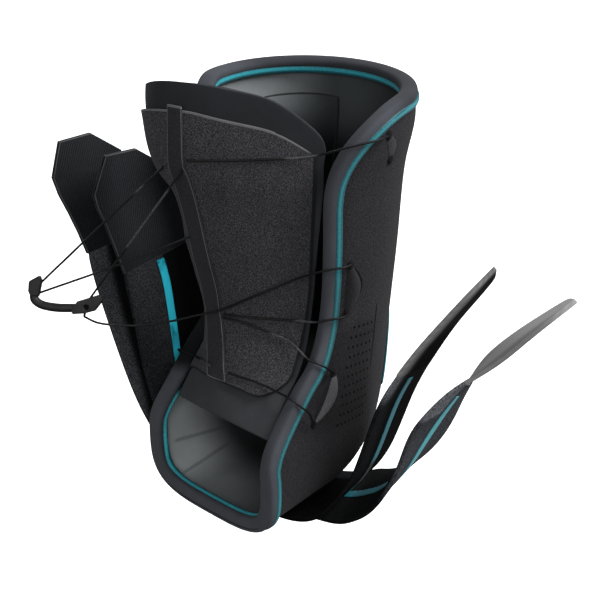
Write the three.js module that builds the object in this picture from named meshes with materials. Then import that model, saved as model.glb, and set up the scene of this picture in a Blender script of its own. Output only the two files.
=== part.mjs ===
import * as THREE from 'three';

// Ankle splint: a padded sleeve open down the front, a front flap, thin laces with a pull handle
// and two straps that pass under the sole. Millimetres, +Z up, toes towards -Y.
// The origin is the middle of the ankle.

const SHELL_THICKNESS = 2.2;
const LINING_THICKNESS = 1.5;
const SEAT_GAP = 0.3;
const WALL_THICKNESS = SHELL_THICKNESS + SEAT_GAP + LINING_THICKNESS;

const RIGHT_CORNER_RADIUS = 42;
const LEFT_CORNER_RADIUS = 14;
const RIM_CELLS = 16;
const BORDER_SHARE = 0.035;
const CORNER_STEPS = 6;
const EDGE_STEPS = 16;

const BINDING_WIDTH = 4;
const BINDING_INNER_WIDTH = 2.9;
const BINDING_THICKNESS = 0.9;
const BINDING_GAP = 0.45;
const BINDING_INNER_GAP = 0.95;
const COVER_GAP = 0.8;
const BINDING_ROUND = 1.3;
const PIPING_RADIUS = 0.8;
const PIPING_SIDES = 5;
const CLOTH_INSET = BINDING_THICKNESS + SEAT_GAP;

const TONGUE_THICKNESS = 4.5;
const COVER_THICKNESS = 1.2;
const STRIP_THICKNESS = 1.2;
const PAD_THICKNESS = 2.5;
const PAD_CLEARANCE = 0.8;
const GUIDE_HEIGHT = 2.4;
const GUIDE_EDGE = 0.5;

const STRAP_THICKNESS = 1.8;
const TAB_THICKNESS = 2.2;
const TAB_OVERHANG = 0.4;
const STRIPE_WIDTH = 4;
const STRIPE_THICKNESS = 0.5;

const LACE_DIAMETER = 1;
const LACE_SIDES = 8;

// One row for each section of the sleeve, from the top rim to the foot opening. Each section runs from
// the front edge round the back or under the sole to the other edge.
const SLEEVE_SECTIONS = [
  { edgeX: 38.8, edgeY: -25.5, edgeZ: 111, backY: 50.5, backZ: 111,
    halfWidth: 48.4, widest: 0.36, square: 2 },
  { edgeX: 39.6, edgeY: -26, edgeZ: 97, backY: 52, backZ: 97, halfWidth: 49.6, widest: 0.36, square: 2 },
  { edgeX: 38.2, edgeY: -25, edgeZ: 74, backY: 47.5, backZ: 74, halfWidth: 46, widest: 0.37, square: 2 },
  { edgeX: 36.3, edgeY: -23, edgeZ: 39, backY: 45, backZ: 39, halfWidth: 44, widest: 0.37, square: 2 },
  { edgeX: 34.6, edgeY: -23, edgeZ: 14, backY: 43.5, backZ: 12, halfWidth: 42, widest: 0.37, square: 2 },
  { edgeX: 35.2, edgeY: -29, edgeZ: -3, backY: 43, backZ: -9, halfWidth: 41.2, widest: 0.38, square: 2 },
  { edgeX: 36, edgeY: -37, edgeZ: -11, backY: 42.5, backZ: -27, halfWidth: 40.6, widest: 0.4, square: 2.1 },
  { edgeX: 36.3, edgeY: -45, edgeZ: -20, backY: 39.5, backZ: -48, halfWidth: 40, widest: 0.4, square: 2.2 },
  { edgeX: 36.6, edgeY: -51.5, edgeZ: -27.5, backY: 29, backZ: -70,
    halfWidth: 39.6, widest: 0.38, square: 2.4 },
  { edgeX: 37, edgeY: -56.5, edgeZ: -33.5, backY: 8, backZ: -81, halfWidth: 39.5, widest: 0.35, square: 2.7 },
  { edgeX: 37.6, edgeY: -59.8, edgeZ: -38, backY: -16, backZ: -82.5,
    halfWidth: 39.5, widest: 0.32, square: 3 },
  { edgeX: 38.2, edgeY: -61.8, edgeZ: -42, backY: -40, backZ: -82.5,
    halfWidth: 39.5, widest: 0.3, square: 3.3 },
  { edgeX: 38.8, edgeY: -63, edgeZ: -46, backY: -63, backZ: -82.5,
    halfWidth: 39.6, widest: 0.25, square: 3.6 },
];

// One row for each level of the front flap: its left edge, the line of its lace strip and its right edge.
const TONGUE_LEVELS = [
  { leftX: -43, leftY: -53, leftZ: 114, midX: -6, midY: -56, midZ: 121,
    rightX: 30.5, rightY: -21.7, rightZ: 109.3 },
  { leftX: -42, leftY: -54, leftZ: 100, midX: -8, midY: -61, midZ: 104,
    rightX: 31.3, rightY: -19.7, rightZ: 94.7 },
  { leftX: -38, leftY: -50, leftZ: 82, midX: -8, midY: -62, midZ: 84,
    rightX: 31.1, rightY: -19.5, rightZ: 78.6 },
  { leftX: -28, leftY: -43.5, leftZ: 69, midX: -6.2, midY: -57.4, midZ: 70,
    rightX: 30.3, rightY: -19.3, rightZ: 67.4 },
  { leftX: -27.5, leftY: -41, leftZ: 46, midX: -5.4, midY: -51.8, midZ: 46,
    rightX: 28.4, rightY: -19.1, rightZ: 44.3 },
  { leftX: -29, leftY: -37, leftZ: 28, midX: -4.8, midY: -46.2, midZ: 27,
    rightX: 27.1, rightY: -19.4, rightZ: 25.3 },
  { leftX: -28.5, leftY: -32, leftZ: 8, midX: -5.4, midY: -43.4, midZ: 10,
    rightX: 26.4, rightY: -22.1, rightZ: 7.4 },
  { leftX: -28, leftY: -32, leftZ: -8, midX: -5, midY: -48, midZ: -11,
    rightX: 28.7, rightY: -31.2, rightZ: -9 },
  { leftX: -28.6, leftY: -42.7, leftZ: -22, midX: -4, midY: -54, midZ: -22,
    rightX: 29.9, rightY: -44, rightZ: -22 },
  { leftX: -29.8, leftY: -52.7, leftZ: -35.5, midX: -1, midY: -59, midZ: -31,
    rightX: 31, rightY: -54.2, rightZ: -35.6 },
];

// Front and rear edge of each strap, from its left tip under the sole to its right tip.
const STRAP_INNER = [
  { frontX: -62, frontY: -62, frontZ: 79, rearX: -62, rearY: -45, rearZ: 78 },
  { frontX: -62, frontY: -70, frontZ: 62, rearX: -62, rearY: -21, rearZ: 61 },
  { frontX: -60, frontY: -66, frontZ: 47, rearX: -59, rearY: -19, rearZ: 47 },
  { frontX: -56, frontY: -60, frontZ: 22, rearX: -55, rearY: -14, rearZ: 28 },
  { frontX: -53, frontY: -58, frontZ: 5, rearX: -52, rearY: -12, rearZ: 8 },
  { frontX: -46.5, frontY: -58, frontZ: -25, rearX: -47.5, rearY: -14, rearZ: -22 },
  { frontX: -43.5, frontY: -56, frontZ: -42, rearX: -44.5, rearY: -16, rearZ: -40 },
  { frontX: -42.6, frontY: -53, frontZ: -62, rearX: -42.6, rearY: -15, rearZ: -62 },
  { frontX: -39.5, frontY: -50, frontZ: -77, rearX: -39, rearY: -12, rearZ: -77 },
  { frontX: -30, frontY: -48, frontZ: -83.3, rearX: -30, rearY: -10, rearZ: -83 },
  { frontX: -14, frontY: -46, frontZ: -84, rearX: -14, rearY: -8, rearZ: -84 },
  { frontX: 16, frontY: -42, frontZ: -84, rearX: 12, rearY: -4, rearZ: -84 },
  { frontX: 33, frontY: -38, frontZ: -83.7, rearX: 25, rearY: 0, rearZ: -83.7 },
  { frontX: 43.5, frontY: -33, frontZ: -79, rearX: 32, rearY: 4, rearZ: -81.7 },
  { frontX: 50, frontY: -23, frontZ: -67, rearX: 38, rearY: 12, rearZ: -75 },
  { frontX: 53, frontY: -17, frontZ: -53, rearX: 43, rearY: 19, rearZ: -61 },
  { frontX: 63, frontY: -15, frontZ: -20, rearX: 54, rearY: 20, rearZ: -29 },
  { frontX: 77, frontY: -14, frontZ: 6, rearX: 66, rearY: 20, rearZ: -5 },
  { frontX: 91, frontY: -12, frontZ: 27, rearX: 77, rearY: 20, rearZ: 14 },
  { frontX: 104, frontY: -11, frontZ: 45, rearX: 88, rearY: 20, rearZ: 30 },
  { frontX: 109, frontY: -1, frontZ: 55, rearX: 102, rearY: 9, rearZ: 46 },
];
const STRAP_INNER_TABS = { leftEnd: 3, rightStart: 16.6 };

const STRAP_OUTER = [
  { frontX: -78, frontY: -75, frontZ: 85, rearX: -78, rearY: -58, rearZ: 85 },
  { frontX: -78, frontY: -80, frontZ: 69, rearX: -78, rearY: -41, rearZ: 73 },
  { frontX: -76, frontY: -74, frontZ: 51, rearX: -76, rearY: -35, rearZ: 54 },
  { frontX: -72, frontY: -68, frontZ: 30, rearX: -72, rearY: -29, rearZ: 33 },
  { frontX: -62, frontY: -65, frontZ: -4, rearX: -63, rearY: -26, rearZ: -2 },
  { frontX: -50, frontY: -62, frontZ: -38, rearX: -52, rearY: -23, rearZ: -37 },
  { frontX: -45.6, frontY: -54, frontZ: -62, rearX: -46, rearY: -16, rearZ: -62 },
  { frontX: -42.6, frontY: -48, frontZ: -78, rearX: -42.3, rearY: -10, rearZ: -78 },
  { frontX: -33, frontY: -44, frontZ: -85.6, rearX: -33, rearY: -6, rearZ: -85.4 },
  { frontX: -14, frontY: -40, frontZ: -86.3, rearX: -14, rearY: -2, rearZ: -86.3 },
  { frontX: 14, frontY: -33, frontZ: -86.3, rearX: 12, rearY: 6, rearZ: -86.3 },
  { frontX: 30, frontY: -28, frontZ: -86.9, rearX: 24, rearY: 13, rearZ: -86.3 },
  { frontX: 43, frontY: -24, frontZ: -87, rearX: 31, rearY: 17, rearZ: -84.5 },
  { frontX: 55, frontY: -23, frontZ: -81, rearX: 38, rearY: 16, rearZ: -80 },
  { frontX: 67, frontY: -23, frontZ: -69, rearX: 49, rearY: 14, rearZ: -74 },
  { frontX: 77, frontY: -22, frontZ: -50, rearX: 61, rearY: 11, rearZ: -64 },
  { frontX: 84, frontY: -22, frontZ: -29, rearX: 74, rearY: 10, rearZ: -48 },
  { frontX: 90, frontY: -21, frontZ: -16, rearX: 82, rearY: 11, rearZ: -33 },
  { frontX: 102, frontY: -19, frontZ: 1, rearX: 88, rearY: 11, rearZ: -18 },
  { frontX: 112, frontY: -17, frontZ: 11, rearX: 93, rearY: 11, rearZ: -6 },
  { frontX: 124, frontY: -15, frontZ: 23, rearX: 101, rearY: 11, rearZ: 8 },
  { frontX: 138, frontY: -14, frontZ: 40, rearX: 115, rearY: 12, rearZ: 24 },
  { frontX: 149, frontY: -4, frontZ: 54, rearX: 140, rearY: 7, rearZ: 48 },
];
const STRAP_OUTER_TABS = { leftEnd: 3, rightStart: 18.7 };

// Lace guides: soft raised tunnels on the sleeve, each between two lace holes.
const LACE_GUIDES = [
  { name: 'lace_guide_top',
    startX: 49.2, startY: 1.5, startZ: 97.8, endX: 47.8, endY: 5, endZ: 86, bulge: 1, half: 2.2 },
  { name: 'lace_guide_upper',
    startX: 41, startY: -12.5, startZ: 40, endX: 39.3, endY: -12.5, endZ: 17, bulge: 3, half: 3 },
  { name: 'lace_guide_lower',
    startX: 39, startY: -20.5, startZ: -11.5, endX: 38.8, endY: -33, endZ: -32.5, bulge: 3, half: 2.8 },
];
const LEFT_GUIDES = ['lace_guide_upper', 'lace_guide_lower'];

// Lace strip down the flap: its half width and its shift from the flap's own middle line.
const STRIP_LEVELS = [
  { level: 0.62, half: 3.1, shift: -6 },
  { level: 1.2, half: 3.1, shift: -3.9 },
  { level: 1.75, half: 3.2, shift: -3.4 },
  { level: 2.05, half: 3.6, shift: -2.3 },
  { level: 3, half: 3.8, shift: -3.6 },
  { level: 4, half: 4, shift: -4.4 },
  { level: 5, half: 4.4, shift: -5.5 },
  { level: 5.6, half: 4.5, shift: -6.2 },
  { level: 6.2, half: 4.7, shift: -4.7 },
  { level: 7, half: 4.7, shift: -1 },
  { level: 7.55, half: 4.7, shift: 1.8 },
];

// Coloured bead over the heel: place in the section table and length from the middle of the back.
const HEEL_PATH = [
  { place: 6.6, side: 39 },
  { place: 5.9, side: 38.5 },
  { place: 5.2, side: 37 },
  { place: 4.75, side: 32 },
  { place: 4.45, side: 25 },
  { place: 4.3, side: 13 },
  { place: 4.25, side: 0.01 },
];

const BACK_PAD = { top: 1.2, low: 2.75, right: -16, left: -64 };

// Pull handle in its own plane: u to the right, v up.
const HANDLE_CENTRE = { x: -47.1, y: -102.6, z: 27.5 };
const HANDLE_TURN = 43;
const HANDLE_TILT = 24.6;
const HANDLE_DEPTH = 4.4;
const GRIP_RADIUS = 1.65;
const CLIP_LEFT = [
  { u: -9.6, v: 9.2 }, { u: -14.4, v: 6.6 }, { u: -14.7, v: 2.2 },
  { u: -13.6, v: -0.2 }, { u: -10.1, v: 0 }, { u: -8.8, v: 6.6 },
];
const CLIP_RIGHT = [
  { u: 3.9, v: -6.1 }, { u: 4.8, v: -7.9 }, { u: 9.6, v: -7.6 }, { u: 14.4, v: -6.3 },
  { u: 17.9, v: -1.8 }, { u: 16.9, v: 0.9 }, { u: 12.7, v: -0.4 }, { u: 6.8, v: -2.2 },
];
const CLIP_HOLE = { u: 10.8, v: -4.8, radius: 1.1 };
const GRIP_PATH = [
  { u: -12.1, v: -1.2 }, { u: -9.6, v: -3.4 }, { u: -5.3, v: -4.6 },
  { u: -0.5, v: -5.1 }, { u: 3.6, v: -5.1 },
];

// Laces: points on the middle of each cord, from the handle or the strip to the guide.
const LACES = {
  lace_a: { steps: 5, path: [[-55, -106, 34], [-36.5, -86.4, 59.5], [-17.9, -66.6, 84.9]] },
  lace_b: { steps: 5, path: [[-54.2, -108.2, 29.2], [-33, -84, 40], [-11.6, -58.9, 52.3]] },
  lace_c: { steps: 5, path: [[-37.5, -93.3, 28.2], [-22, -79.8, 57], [-6.4, -66, 86]] },
  lace_d: {
    steps: 18,
    path: [
      [-37.6, -98.8, 19.5], [-35.8, -93.4, 15.2], [-32.9, -85, 11.9], [-28.2, -74, 9.5],
      [-20.8, -61.4, 9.8], [-13.6, -52.4, 12], [-8.4, -49.7, 13.8], [-3.2, -46.8, 16.4],
      [4.1, -44.2, 21], [12.5, -39.1, 26.3], [19, -33.6, 30.3], [26.6, -28.8, 34.8],
      [35.6, -27.3, 39.5], [40.2, -23.5, 41], [43.2, -18, 41.2], [43, -14.2, 41.2],
    ],
  },
  lace_e: {
    steps: 11,
    path: [
      [-4.1, -46.4, 13.2], [3.3, -43.7, 13.5], [11.6, -38.4, 13.4], [20, -31.9, 13.1],
      [27.2, -28.4, 13.7], [34.4, -27, 15], [38.6, -23.4, 16.2], [41.6, -17.6, 16.4],
      [41.2, -14, 16.3],
    ],
  },
  lace_f: {
    steps: 11,
    path: [
      [-4.2, -46.6, 11.5], [3.4, -44, 11.1], [11, -39.8, 8.8], [17.5, -35.7, 6.3],
      [23, -32.6, 4.2], [29.5, -32.2, 1], [34.8, -32.1, -1.6], [38.8, -29.5, -3.4],
      [41.2, -25.5, -6.6], [41, -22.2, -9.8],
    ],
  },
  lace_g: {
    steps: 10,
    path: [
      [2.7, -50.9, -12.4], [8.5, -49.5, -13], [15.8, -47.3, -13.6], [21.6, -45.5, -14.7],
      [28.5, -44.6, -15.6], [35.4, -45, -15.8], [39.8, -42.3, -19.5], [41.6, -38.9, -23.4],
      [41.1, -36.3, -29], [40.8, -34.9, -31],
    ],
  },
  lace_h: {
    steps: 9,
    path: [
      [-6.4, -53.4, -11.1], [-13.3, -51.3, -12.3], [-23.3, -46.7, -14.7], [-34.6, -46.6, -15.3],
      [-40, -42.5, -18.8], [-41.6, -38.9, -23.4], [-41.1, -36.3, -29], [-40.8, -34.9, -31],
    ],
  },
  lace_top: {
    steps: 13,
    path: [
      [-6, -64.3, 90.2], [-2.3, -62.1, 90.1], [2.7, -58.5, 90.4], [10.5, -51.5, 90.5],
      [19, -41.7, 90.5], [25.3, -33.7, 90.5], [33, -26.4, 91.6], [45.4, -21.1, 96.6],
      [49.2, -16, 97.8], [52, -8, 98.4], [51.2, -1.4, 98.4],
    ],
  },
};

const COLOURS = {
  shell: 0x2b2d2f,
  lining: 0x55595a,
  binding: 0x33363a,
  piping: 0x2fa3b8,
  cover: 0x2a2b2d,
  pad: 0x313437,
  strip: 0x222426,
  strap: 0x151718,
  tab: 0x2a2f2f,
  lace: 0x0e0f10,
  handle: 0x131415,
};

// Value at a fraction between table rows, on a smooth curve through every row.
function between(rows, key, place) {
  const last = rows.length - 1;
  const index = Math.min(Math.max(Math.floor(place), 0), last - 1);
  const t = place - index;
  const p1 = rows[index][key];
  const p2 = rows[index + 1][key];
  const p0 = index > 0 ? rows[index - 1][key] : 2 * p1 - p2;
  const p3 = index < last - 1 ? rows[index + 2][key] : 2 * p2 - p1;
  const a = 2 * p1;
  const b = p2 - p0;
  const c = 2 * p0 - 5 * p1 + 4 * p2 - p3;
  const d = 3 * p1 - p0 - 3 * p2 + p3;
  return 0.5 * (a + b * t + c * t * t + d * t * t * t);
}

function pointBetween(rows, name, place) {
  return new THREE.Vector3(
    between(rows, name + 'X', place),
    between(rows, name + 'Y', place),
    between(rows, name + 'Z', place),
  );
}

function range(count) {
  return Array.from({ length: count }, (_, index) => index);
}

function mix(a, b, t) {
  return a + (b - a) * t;
}

// Closed body from points and faces, turned so that its faces look outwards.
function body(points, faces) {
  let volume = 0;
  for (const [a, b, c] of faces) {
    volume += points[a].dot(new THREE.Vector3().crossVectors(points[b], points[c]));
  }
  const turned = volume < 0 ? faces.map(([a, b, c]) => [a, c, b]) : faces;
  const geometry = new THREE.BufferGeometry().setFromPoints(points);
  geometry.setIndex(turned.flat());
  geometry.computeVertexNormals();
  return geometry;
}

// Body lofted through rings of equal count, capped at both ends or joined into a closed loop.
function loft(rings, joined = false) {
  const count = rings[0].length;
  const faces = [];
  const spans = joined ? rings.length : rings.length - 1;
  for (const i of range(spans)) {
    const next = (i + 1) % rings.length;
    for (const j of range(count)) {
      const k = (j + 1) % count;
      faces.push([i * count + j, next * count + j, next * count + k]);
      faces.push([i * count + j, next * count + k, i * count + k]);
    }
  }
  if (!joined) {
    const start = (rings.length - 1) * count;
    for (const j of range(count - 2)) {
      faces.push([0, j + 1, j + 2]);
      faces.push([start, start + j + 2, start + j + 1]);
    }
  }
  return body(rings.flat(), faces);
}

// Closed wall between an outer and an inner grid of points with the same rows and columns.
function wall(outer, inner) {
  const rows = outer.length;
  const columns = outer[0].length;
  const offset = rows * columns;
  const at = (i, j) => i * columns + j;
  const faces = [];
  const quad = (a, b, c, d) => faces.push([a, b, c], [a, c, d]);
  for (const i of range(rows - 1)) {
    for (const j of range(columns - 1)) {
      quad(at(i, j), at(i + 1, j), at(i + 1, j + 1), at(i, j + 1));
      quad(offset + at(i, j), offset + at(i, j + 1), offset + at(i + 1, j + 1), offset + at(i + 1, j));
    }
  }
  for (const i of range(rows - 1)) {
    quad(at(i, 0), offset + at(i, 0), offset + at(i + 1, 0), at(i + 1, 0));
    const near = at(i, columns - 1);
    const far = at(i + 1, columns - 1);
    quad(near, far, offset + far, offset + near);
  }
  for (const j of range(columns - 1)) {
    quad(at(0, j), at(0, j + 1), offset + at(0, j + 1), offset + at(0, j));
    quad(at(rows - 1, j), offset + at(rows - 1, j), offset + at(rows - 1, j + 1), at(rows - 1, j + 1));
  }
  return body([...outer.flat(), ...inner.flat()], faces);
}

// Half section of the sleeve at a place in the table: points from the back to the front edge with the
// length run so far.
const SECTION_STEPS = 80;
const sectionCache = new Map();

function sleeveSection(place) {
  const key = place.toFixed(5);
  if (sectionCache.has(key)) {
    return sectionCache.get(key);
  }
  const edge = pointBetween(SLEEVE_SECTIONS, 'edge', place);
  const backY = between(SLEEVE_SECTIONS, 'backY', place);
  const backZ = between(SLEEVE_SECTIONS, 'backZ', place);
  const half = between(SLEEVE_SECTIONS, 'halfWidth', place);
  const square = between(SLEEVE_SECTIONS, 'square', place);
  const depth = Math.hypot(backY - edge.y, backZ - edge.z);
  const along = { y: (backY - edge.y) / depth, z: (backZ - edge.z) / depth };
  const widest = Math.max(between(SLEEVE_SECTIONS, 'widest', place), 0) * depth;
  const share = Math.min(edge.x / half, 1);
  const front = widest / Math.max(Math.sqrt(1 - share * share), 0.05);
  const endAngle = Math.PI / 2 + Math.asin(Math.min(widest / Math.max(front, 0.001), 1));
  const points = [];
  const lengths = [];
  let run = 0;
  for (const step of range(SECTION_STEPS + 1)) {
    const angle = (endAngle * step) / SECTION_STEPS;
    const power = angle < Math.PI / 2 ? 2 / square : 1;
    const x = half * Math.pow(Math.sin(angle), power);
    const cosine = Math.cos(angle);
    const reach = cosine > 0 ? (depth - widest) * Math.pow(cosine, power) : front * cosine;
    const d = widest + reach;
    const point = new THREE.Vector3(x, edge.y + along.y * d, edge.z + along.z * d);
    run += step > 0 ? point.distanceTo(points[step - 1]) : 0;
    points.push(point);
    lengths.push(run);
  }
  const section = { points, lengths, length: run };
  sectionCache.set(key, section);
  return section;
}

// Point of the sleeve's outer face: place in the section table and signed length from the middle of the back.
function sleevePoint(place, side) {
  const bounded = Math.min(Math.max(place, 0), SLEEVE_SECTIONS.length - 1);
  const { points, lengths, length } = sleeveSection(bounded);
  const reach = Math.min(Math.abs(side), length);
  let step = 1;
  while (step < SECTION_STEPS && lengths[step] < reach) {
    step += 1;
  }
  const t = (reach - lengths[step - 1]) / Math.max(lengths[step] - lengths[step - 1], 1e-6);
  const point = points[step - 1].clone().lerp(points[step], t);
  point.x *= Math.sign(side);
  return point;
}

const LAST_SECTION = SLEEVE_SECTIONS.length - 1;
const SLOPE_STEP = 0.02;
const SIDE_STEP = 1.5;

function sleeveSlopes(place, side) {
  const low = Math.max(place - SLOPE_STEP, 0);
  const high = Math.min(place + SLOPE_STEP, LAST_SECTION);
  const down = sleevePoint(high, side).sub(sleevePoint(low, side)).divideScalar(high - low);
  const limit = sleeveSection(Math.min(Math.max(place, 0), LAST_SECTION)).length;
  const right = Math.min(side + SIDE_STEP, limit);
  const left = Math.max(side - SIDE_STEP, -limit);
  const across = sleevePoint(place, right).sub(sleevePoint(place, left)).divideScalar(right - left);
  const outward = new THREE.Vector3().crossVectors(across, down).normalize();
  return { across, down, outward };
}

// Sleeve point at a depth below the outer face. A negative depth stands proud of it.
function sleeveAt(spot, depth) {
  const { outward } = sleeveSlopes(spot.place, spot.side);
  return sleevePoint(spot.place, spot.side).addScaledVector(outward, -depth);
}

// Length run down the sleeve, the mean of its front edge and its back, used to place the rows.
const RUN_SAMPLES = 240;
const runTable = [];
let totalRun = 0;
for (const step of range(RUN_SAMPLES + 1)) {
  const place = (LAST_SECTION * step) / RUN_SAMPLES;
  const edge = pointBetween(SLEEVE_SECTIONS, 'edge', place);
  const back = sleevePoint(place, 0);
  if (step > 0) {
    const before = runTable[step - 1];
    totalRun += (edge.distanceTo(before.edge) + back.distanceTo(before.back)) / 2;
  }
  runTable.push({ place, edge, back, run: totalRun });
}

function placeAtRun(run) {
  let step = 1;
  while (step < RUN_SAMPLES && runTable[step].run < run) {
    step += 1;
  }
  const a = runTable[step - 1];
  const b = runTable[step];
  return mix(a.place, b.place, (run - a.run) / (b.run - a.run));
}

// How far a rounded top corner pulls the front edge back at a run below the rim.
function cornerPull(radius, run) {
  const left = Math.max(radius - run, 0);
  return radius - Math.sqrt(radius * radius - left * left);
}

// Rows of the sleeve from the rim down, with the length of each side from the middle of the back.
function outlineRows() {
  const runs = range(CORNER_STEPS).map((step) =>
    RIGHT_CORNER_RADIUS * (1 - Math.cos((Math.PI * step) / (2 * CORNER_STEPS))));
  const rest = totalRun - RIGHT_CORNER_RADIUS;
  runs.push(...range(EDGE_STEPS + 1).map((step) => RIGHT_CORNER_RADIUS + (rest * step) / EDGE_STEPS));
  return runs.map((run) => {
    const place = placeAtRun(run);
    const full = sleeveSection(place).length;
    return {
      place,
      left: cornerPull(LEFT_CORNER_RADIUS, run) - full,
      right: full - cornerPull(RIGHT_CORNER_RADIUS, run),
    };
  });
}

const ROWS = outlineRows();
const ROW_COUNT = ROWS.length;
// Columns from the left edge to the right, with a narrow one beside each edge.
const COLUMN_SHARES = [
  0,
  BORDER_SHARE,
  ...range(RIM_CELLS - 1).map((j) => (j + 1) / RIM_CELLS),
  1 - BORDER_SHARE,
  1,
];
const RIM_COLUMNS = COLUMN_SHARES.length - 1;

// Cut outline as one closed loop: along the rim, down the right edge, along the foot opening and up again.
function outlineLoop() {
  const spot = (row, share) => ({
    place: ROWS[row].place,
    side: mix(ROWS[row].left, ROWS[row].right, share),
  });
  const rim = COLUMN_SHARES.map((share) => spot(0, share));
  const right = range(ROW_COUNT - 2).map((i) => spot(i + 1, 1));
  const foot = [...COLUMN_SHARES].reverse().map((share) => spot(ROW_COUNT - 1, share));
  const left = range(ROW_COUNT - 2).map((i) => spot(ROW_COUNT - 2 - i, 0));
  return [...rim, ...right, ...foot, ...left];
}

const LOOP = outlineLoop();
const LOOP_POINTS = LOOP.map((spot) => sleevePoint(spot.place, spot.side));

// Direction from a spot of the cut outline into the cloth.
function outlineInward(index) {
  const count = LOOP.length;
  const before = LOOP_POINTS[(index + count - 1) % count];
  const after = LOOP_POINTS[(index + 1) % count];
  const tangent = after.clone().sub(before).normalize();
  const { outward } = sleeveSlopes(LOOP[index].place, LOOP[index].side);
  return new THREE.Vector3().crossVectors(outward, tangent).normalize();
}

// Spot of the sleeve nearest to a point, found in small steps from a spot close by.
const SEEK_STEPS = 40;

function nearestSpot(start, target) {
  let spot = start;
  for (const step of range(SEEK_STEPS)) {
    const miss = target.clone().sub(sleevePoint(spot.place, spot.side));
    const { across, down } = sleeveSlopes(spot.place, spot.side);
    const soft = step < SEEK_STEPS / 2 ? 0.3 : 0.02;
    const aa = across.dot(across) + soft;
    const ad = across.dot(down);
    const dd = down.dot(down) * (1 + soft);
    const am = across.dot(miss);
    const dm = down.dot(miss);
    const det = aa * dd - ad * ad;
    const place = Math.min(Math.max(spot.place + (aa * dm - ad * am) / det, 0), LAST_SECTION);
    const limit = sleeveSection(place).length;
    const side = Math.min(Math.max(spot.side + (dd * am - ad * dm) / det, -limit), limit);
    spot = { place, side };
  }
  return spot;
}

// Spot on the sleeve that lies a distance inside the cut outline.
function insetSpot(index, distance) {
  const target = LOOP_POINTS[index].clone().addScaledVector(outlineInward(index), distance);
  return nearestSpot(LOOP[index], target);
}

// Grid of spots that fills the outline moved inwards by a distance.
function insetGrid(distance) {
  const loop = range(LOOP.length).map((index) => insetSpot(index, distance));
  const rim = (j) => loop[j];
  const right = (i) => loop[RIM_COLUMNS + i];
  const foot = (j) => loop[2 * RIM_COLUMNS + ROW_COUNT - 1 - j];
  const left = (i) => loop[(loop.length - i) % loop.length];
  const blend = (key, i, j, b, a) => {
    const rows = mix(rim(j)[key], foot(j)[key], b);
    const columns = mix(left(i)[key], right(i)[key], a);
    const top = mix(rim(0)[key], rim(RIM_COLUMNS)[key], a);
    const low = mix(foot(0)[key], foot(RIM_COLUMNS)[key], a);
    return rows + columns - mix(top, low, b);
  };
  return range(ROW_COUNT).map((i) => range(RIM_COLUMNS + 1).map((j) => {
    const b = ROWS[i].place / LAST_SECTION;
    const a = COLUMN_SHARES[j];
    return { place: blend('place', i, j, b, a), side: blend('side', i, j, b, a) };
  }));
}

function sleeveWall(distance, outerDepth, innerDepth) {
  const grid = insetGrid(distance);
  const layer = (depth) => grid.map((row) => row.map((spot) => sleeveAt(spot, depth)));
  return wall(layer(outerDepth), layer(innerDepth));
}

// Smooth tape folded over the cut edge of shell and lining.
function edgeBinding() {
  const seat = BINDING_GAP;
  const top = BINDING_GAP + BINDING_THICKNESS;
  const deep = WALL_THICKNESS + BINDING_INNER_GAP - BINDING_GAP;
  const profile = [
    { inset: BINDING_WIDTH, depth: -top },
    { inset: BINDING_ROUND, depth: -top },
    { inset: 0, depth: BINDING_ROUND - top },
    { inset: 0, depth: deep + top - BINDING_ROUND },
    { inset: BINDING_ROUND, depth: deep + top },
    { inset: BINDING_INNER_WIDTH, depth: deep + top },
    { inset: BINDING_INNER_WIDTH, depth: deep + seat },
    { inset: BINDING_THICKNESS, depth: deep + seat },
    { inset: BINDING_THICKNESS, depth: -seat },
    { inset: BINDING_WIDTH, depth: -seat },
  ];
  return loft(range(LOOP.length).map((index) => profile.map(({ inset, depth }) =>
    sleeveAt(insetSpot(index, inset), depth))), true);
}

// Round bead that runs beside the binding all round the outline.
function edgePiping(width, depth) {
  const middle = width + SEAT_GAP + PIPING_RADIUS;
  return loft(range(LOOP.length).map((index) => {
    const spot = insetSpot(index, middle);
    const { outward } = sleeveSlopes(spot.place, spot.side);
    const inward = outlineInward(index);
    const centre = sleeveAt(spot, depth);
    const flat = inward.addScaledVector(outward, -inward.dot(outward)).normalize();
    return range(PIPING_SIDES).map((side) => {
      const angle = (2 * Math.PI * (side + 0.5)) / PIPING_SIDES;
      return centre.clone()
        .addScaledVector(outward, PIPING_RADIUS * Math.cos(angle))
        .addScaledVector(flat, PIPING_RADIUS * Math.sin(angle));
    });
  }), true);
}

// Front flap: across runs from -1 at its left edge over 0 on the lace strip to 1 at its right edge.
function tonguePoint(level, across) {
  const left = pointBetween(TONGUE_LEVELS, 'left', level);
  const middle = pointBetween(TONGUE_LEVELS, 'mid', level);
  const right = pointBetween(TONGUE_LEVELS, 'right', level);
  return left.multiplyScalar((across * (across - 1)) / 2)
    .addScaledVector(middle, 1 - across * across)
    .addScaledVector(right, (across * (across + 1)) / 2);
}

const LAST_LEVEL = TONGUE_LEVELS.length - 1;

function tongueAt(level, across, depth) {
  const low = Math.max(level - 0.05, 0);
  const high = Math.min(level + 0.05, LAST_LEVEL);
  const down = tonguePoint(high, across).sub(tonguePoint(low, across));
  const sideways = tonguePoint(level, across + 0.02).sub(tonguePoint(level, across - 0.02));
  const outward = new THREE.Vector3().crossVectors(down, sideways).normalize();
  return tonguePoint(level, across).addScaledVector(outward, -depth);
}

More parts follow.
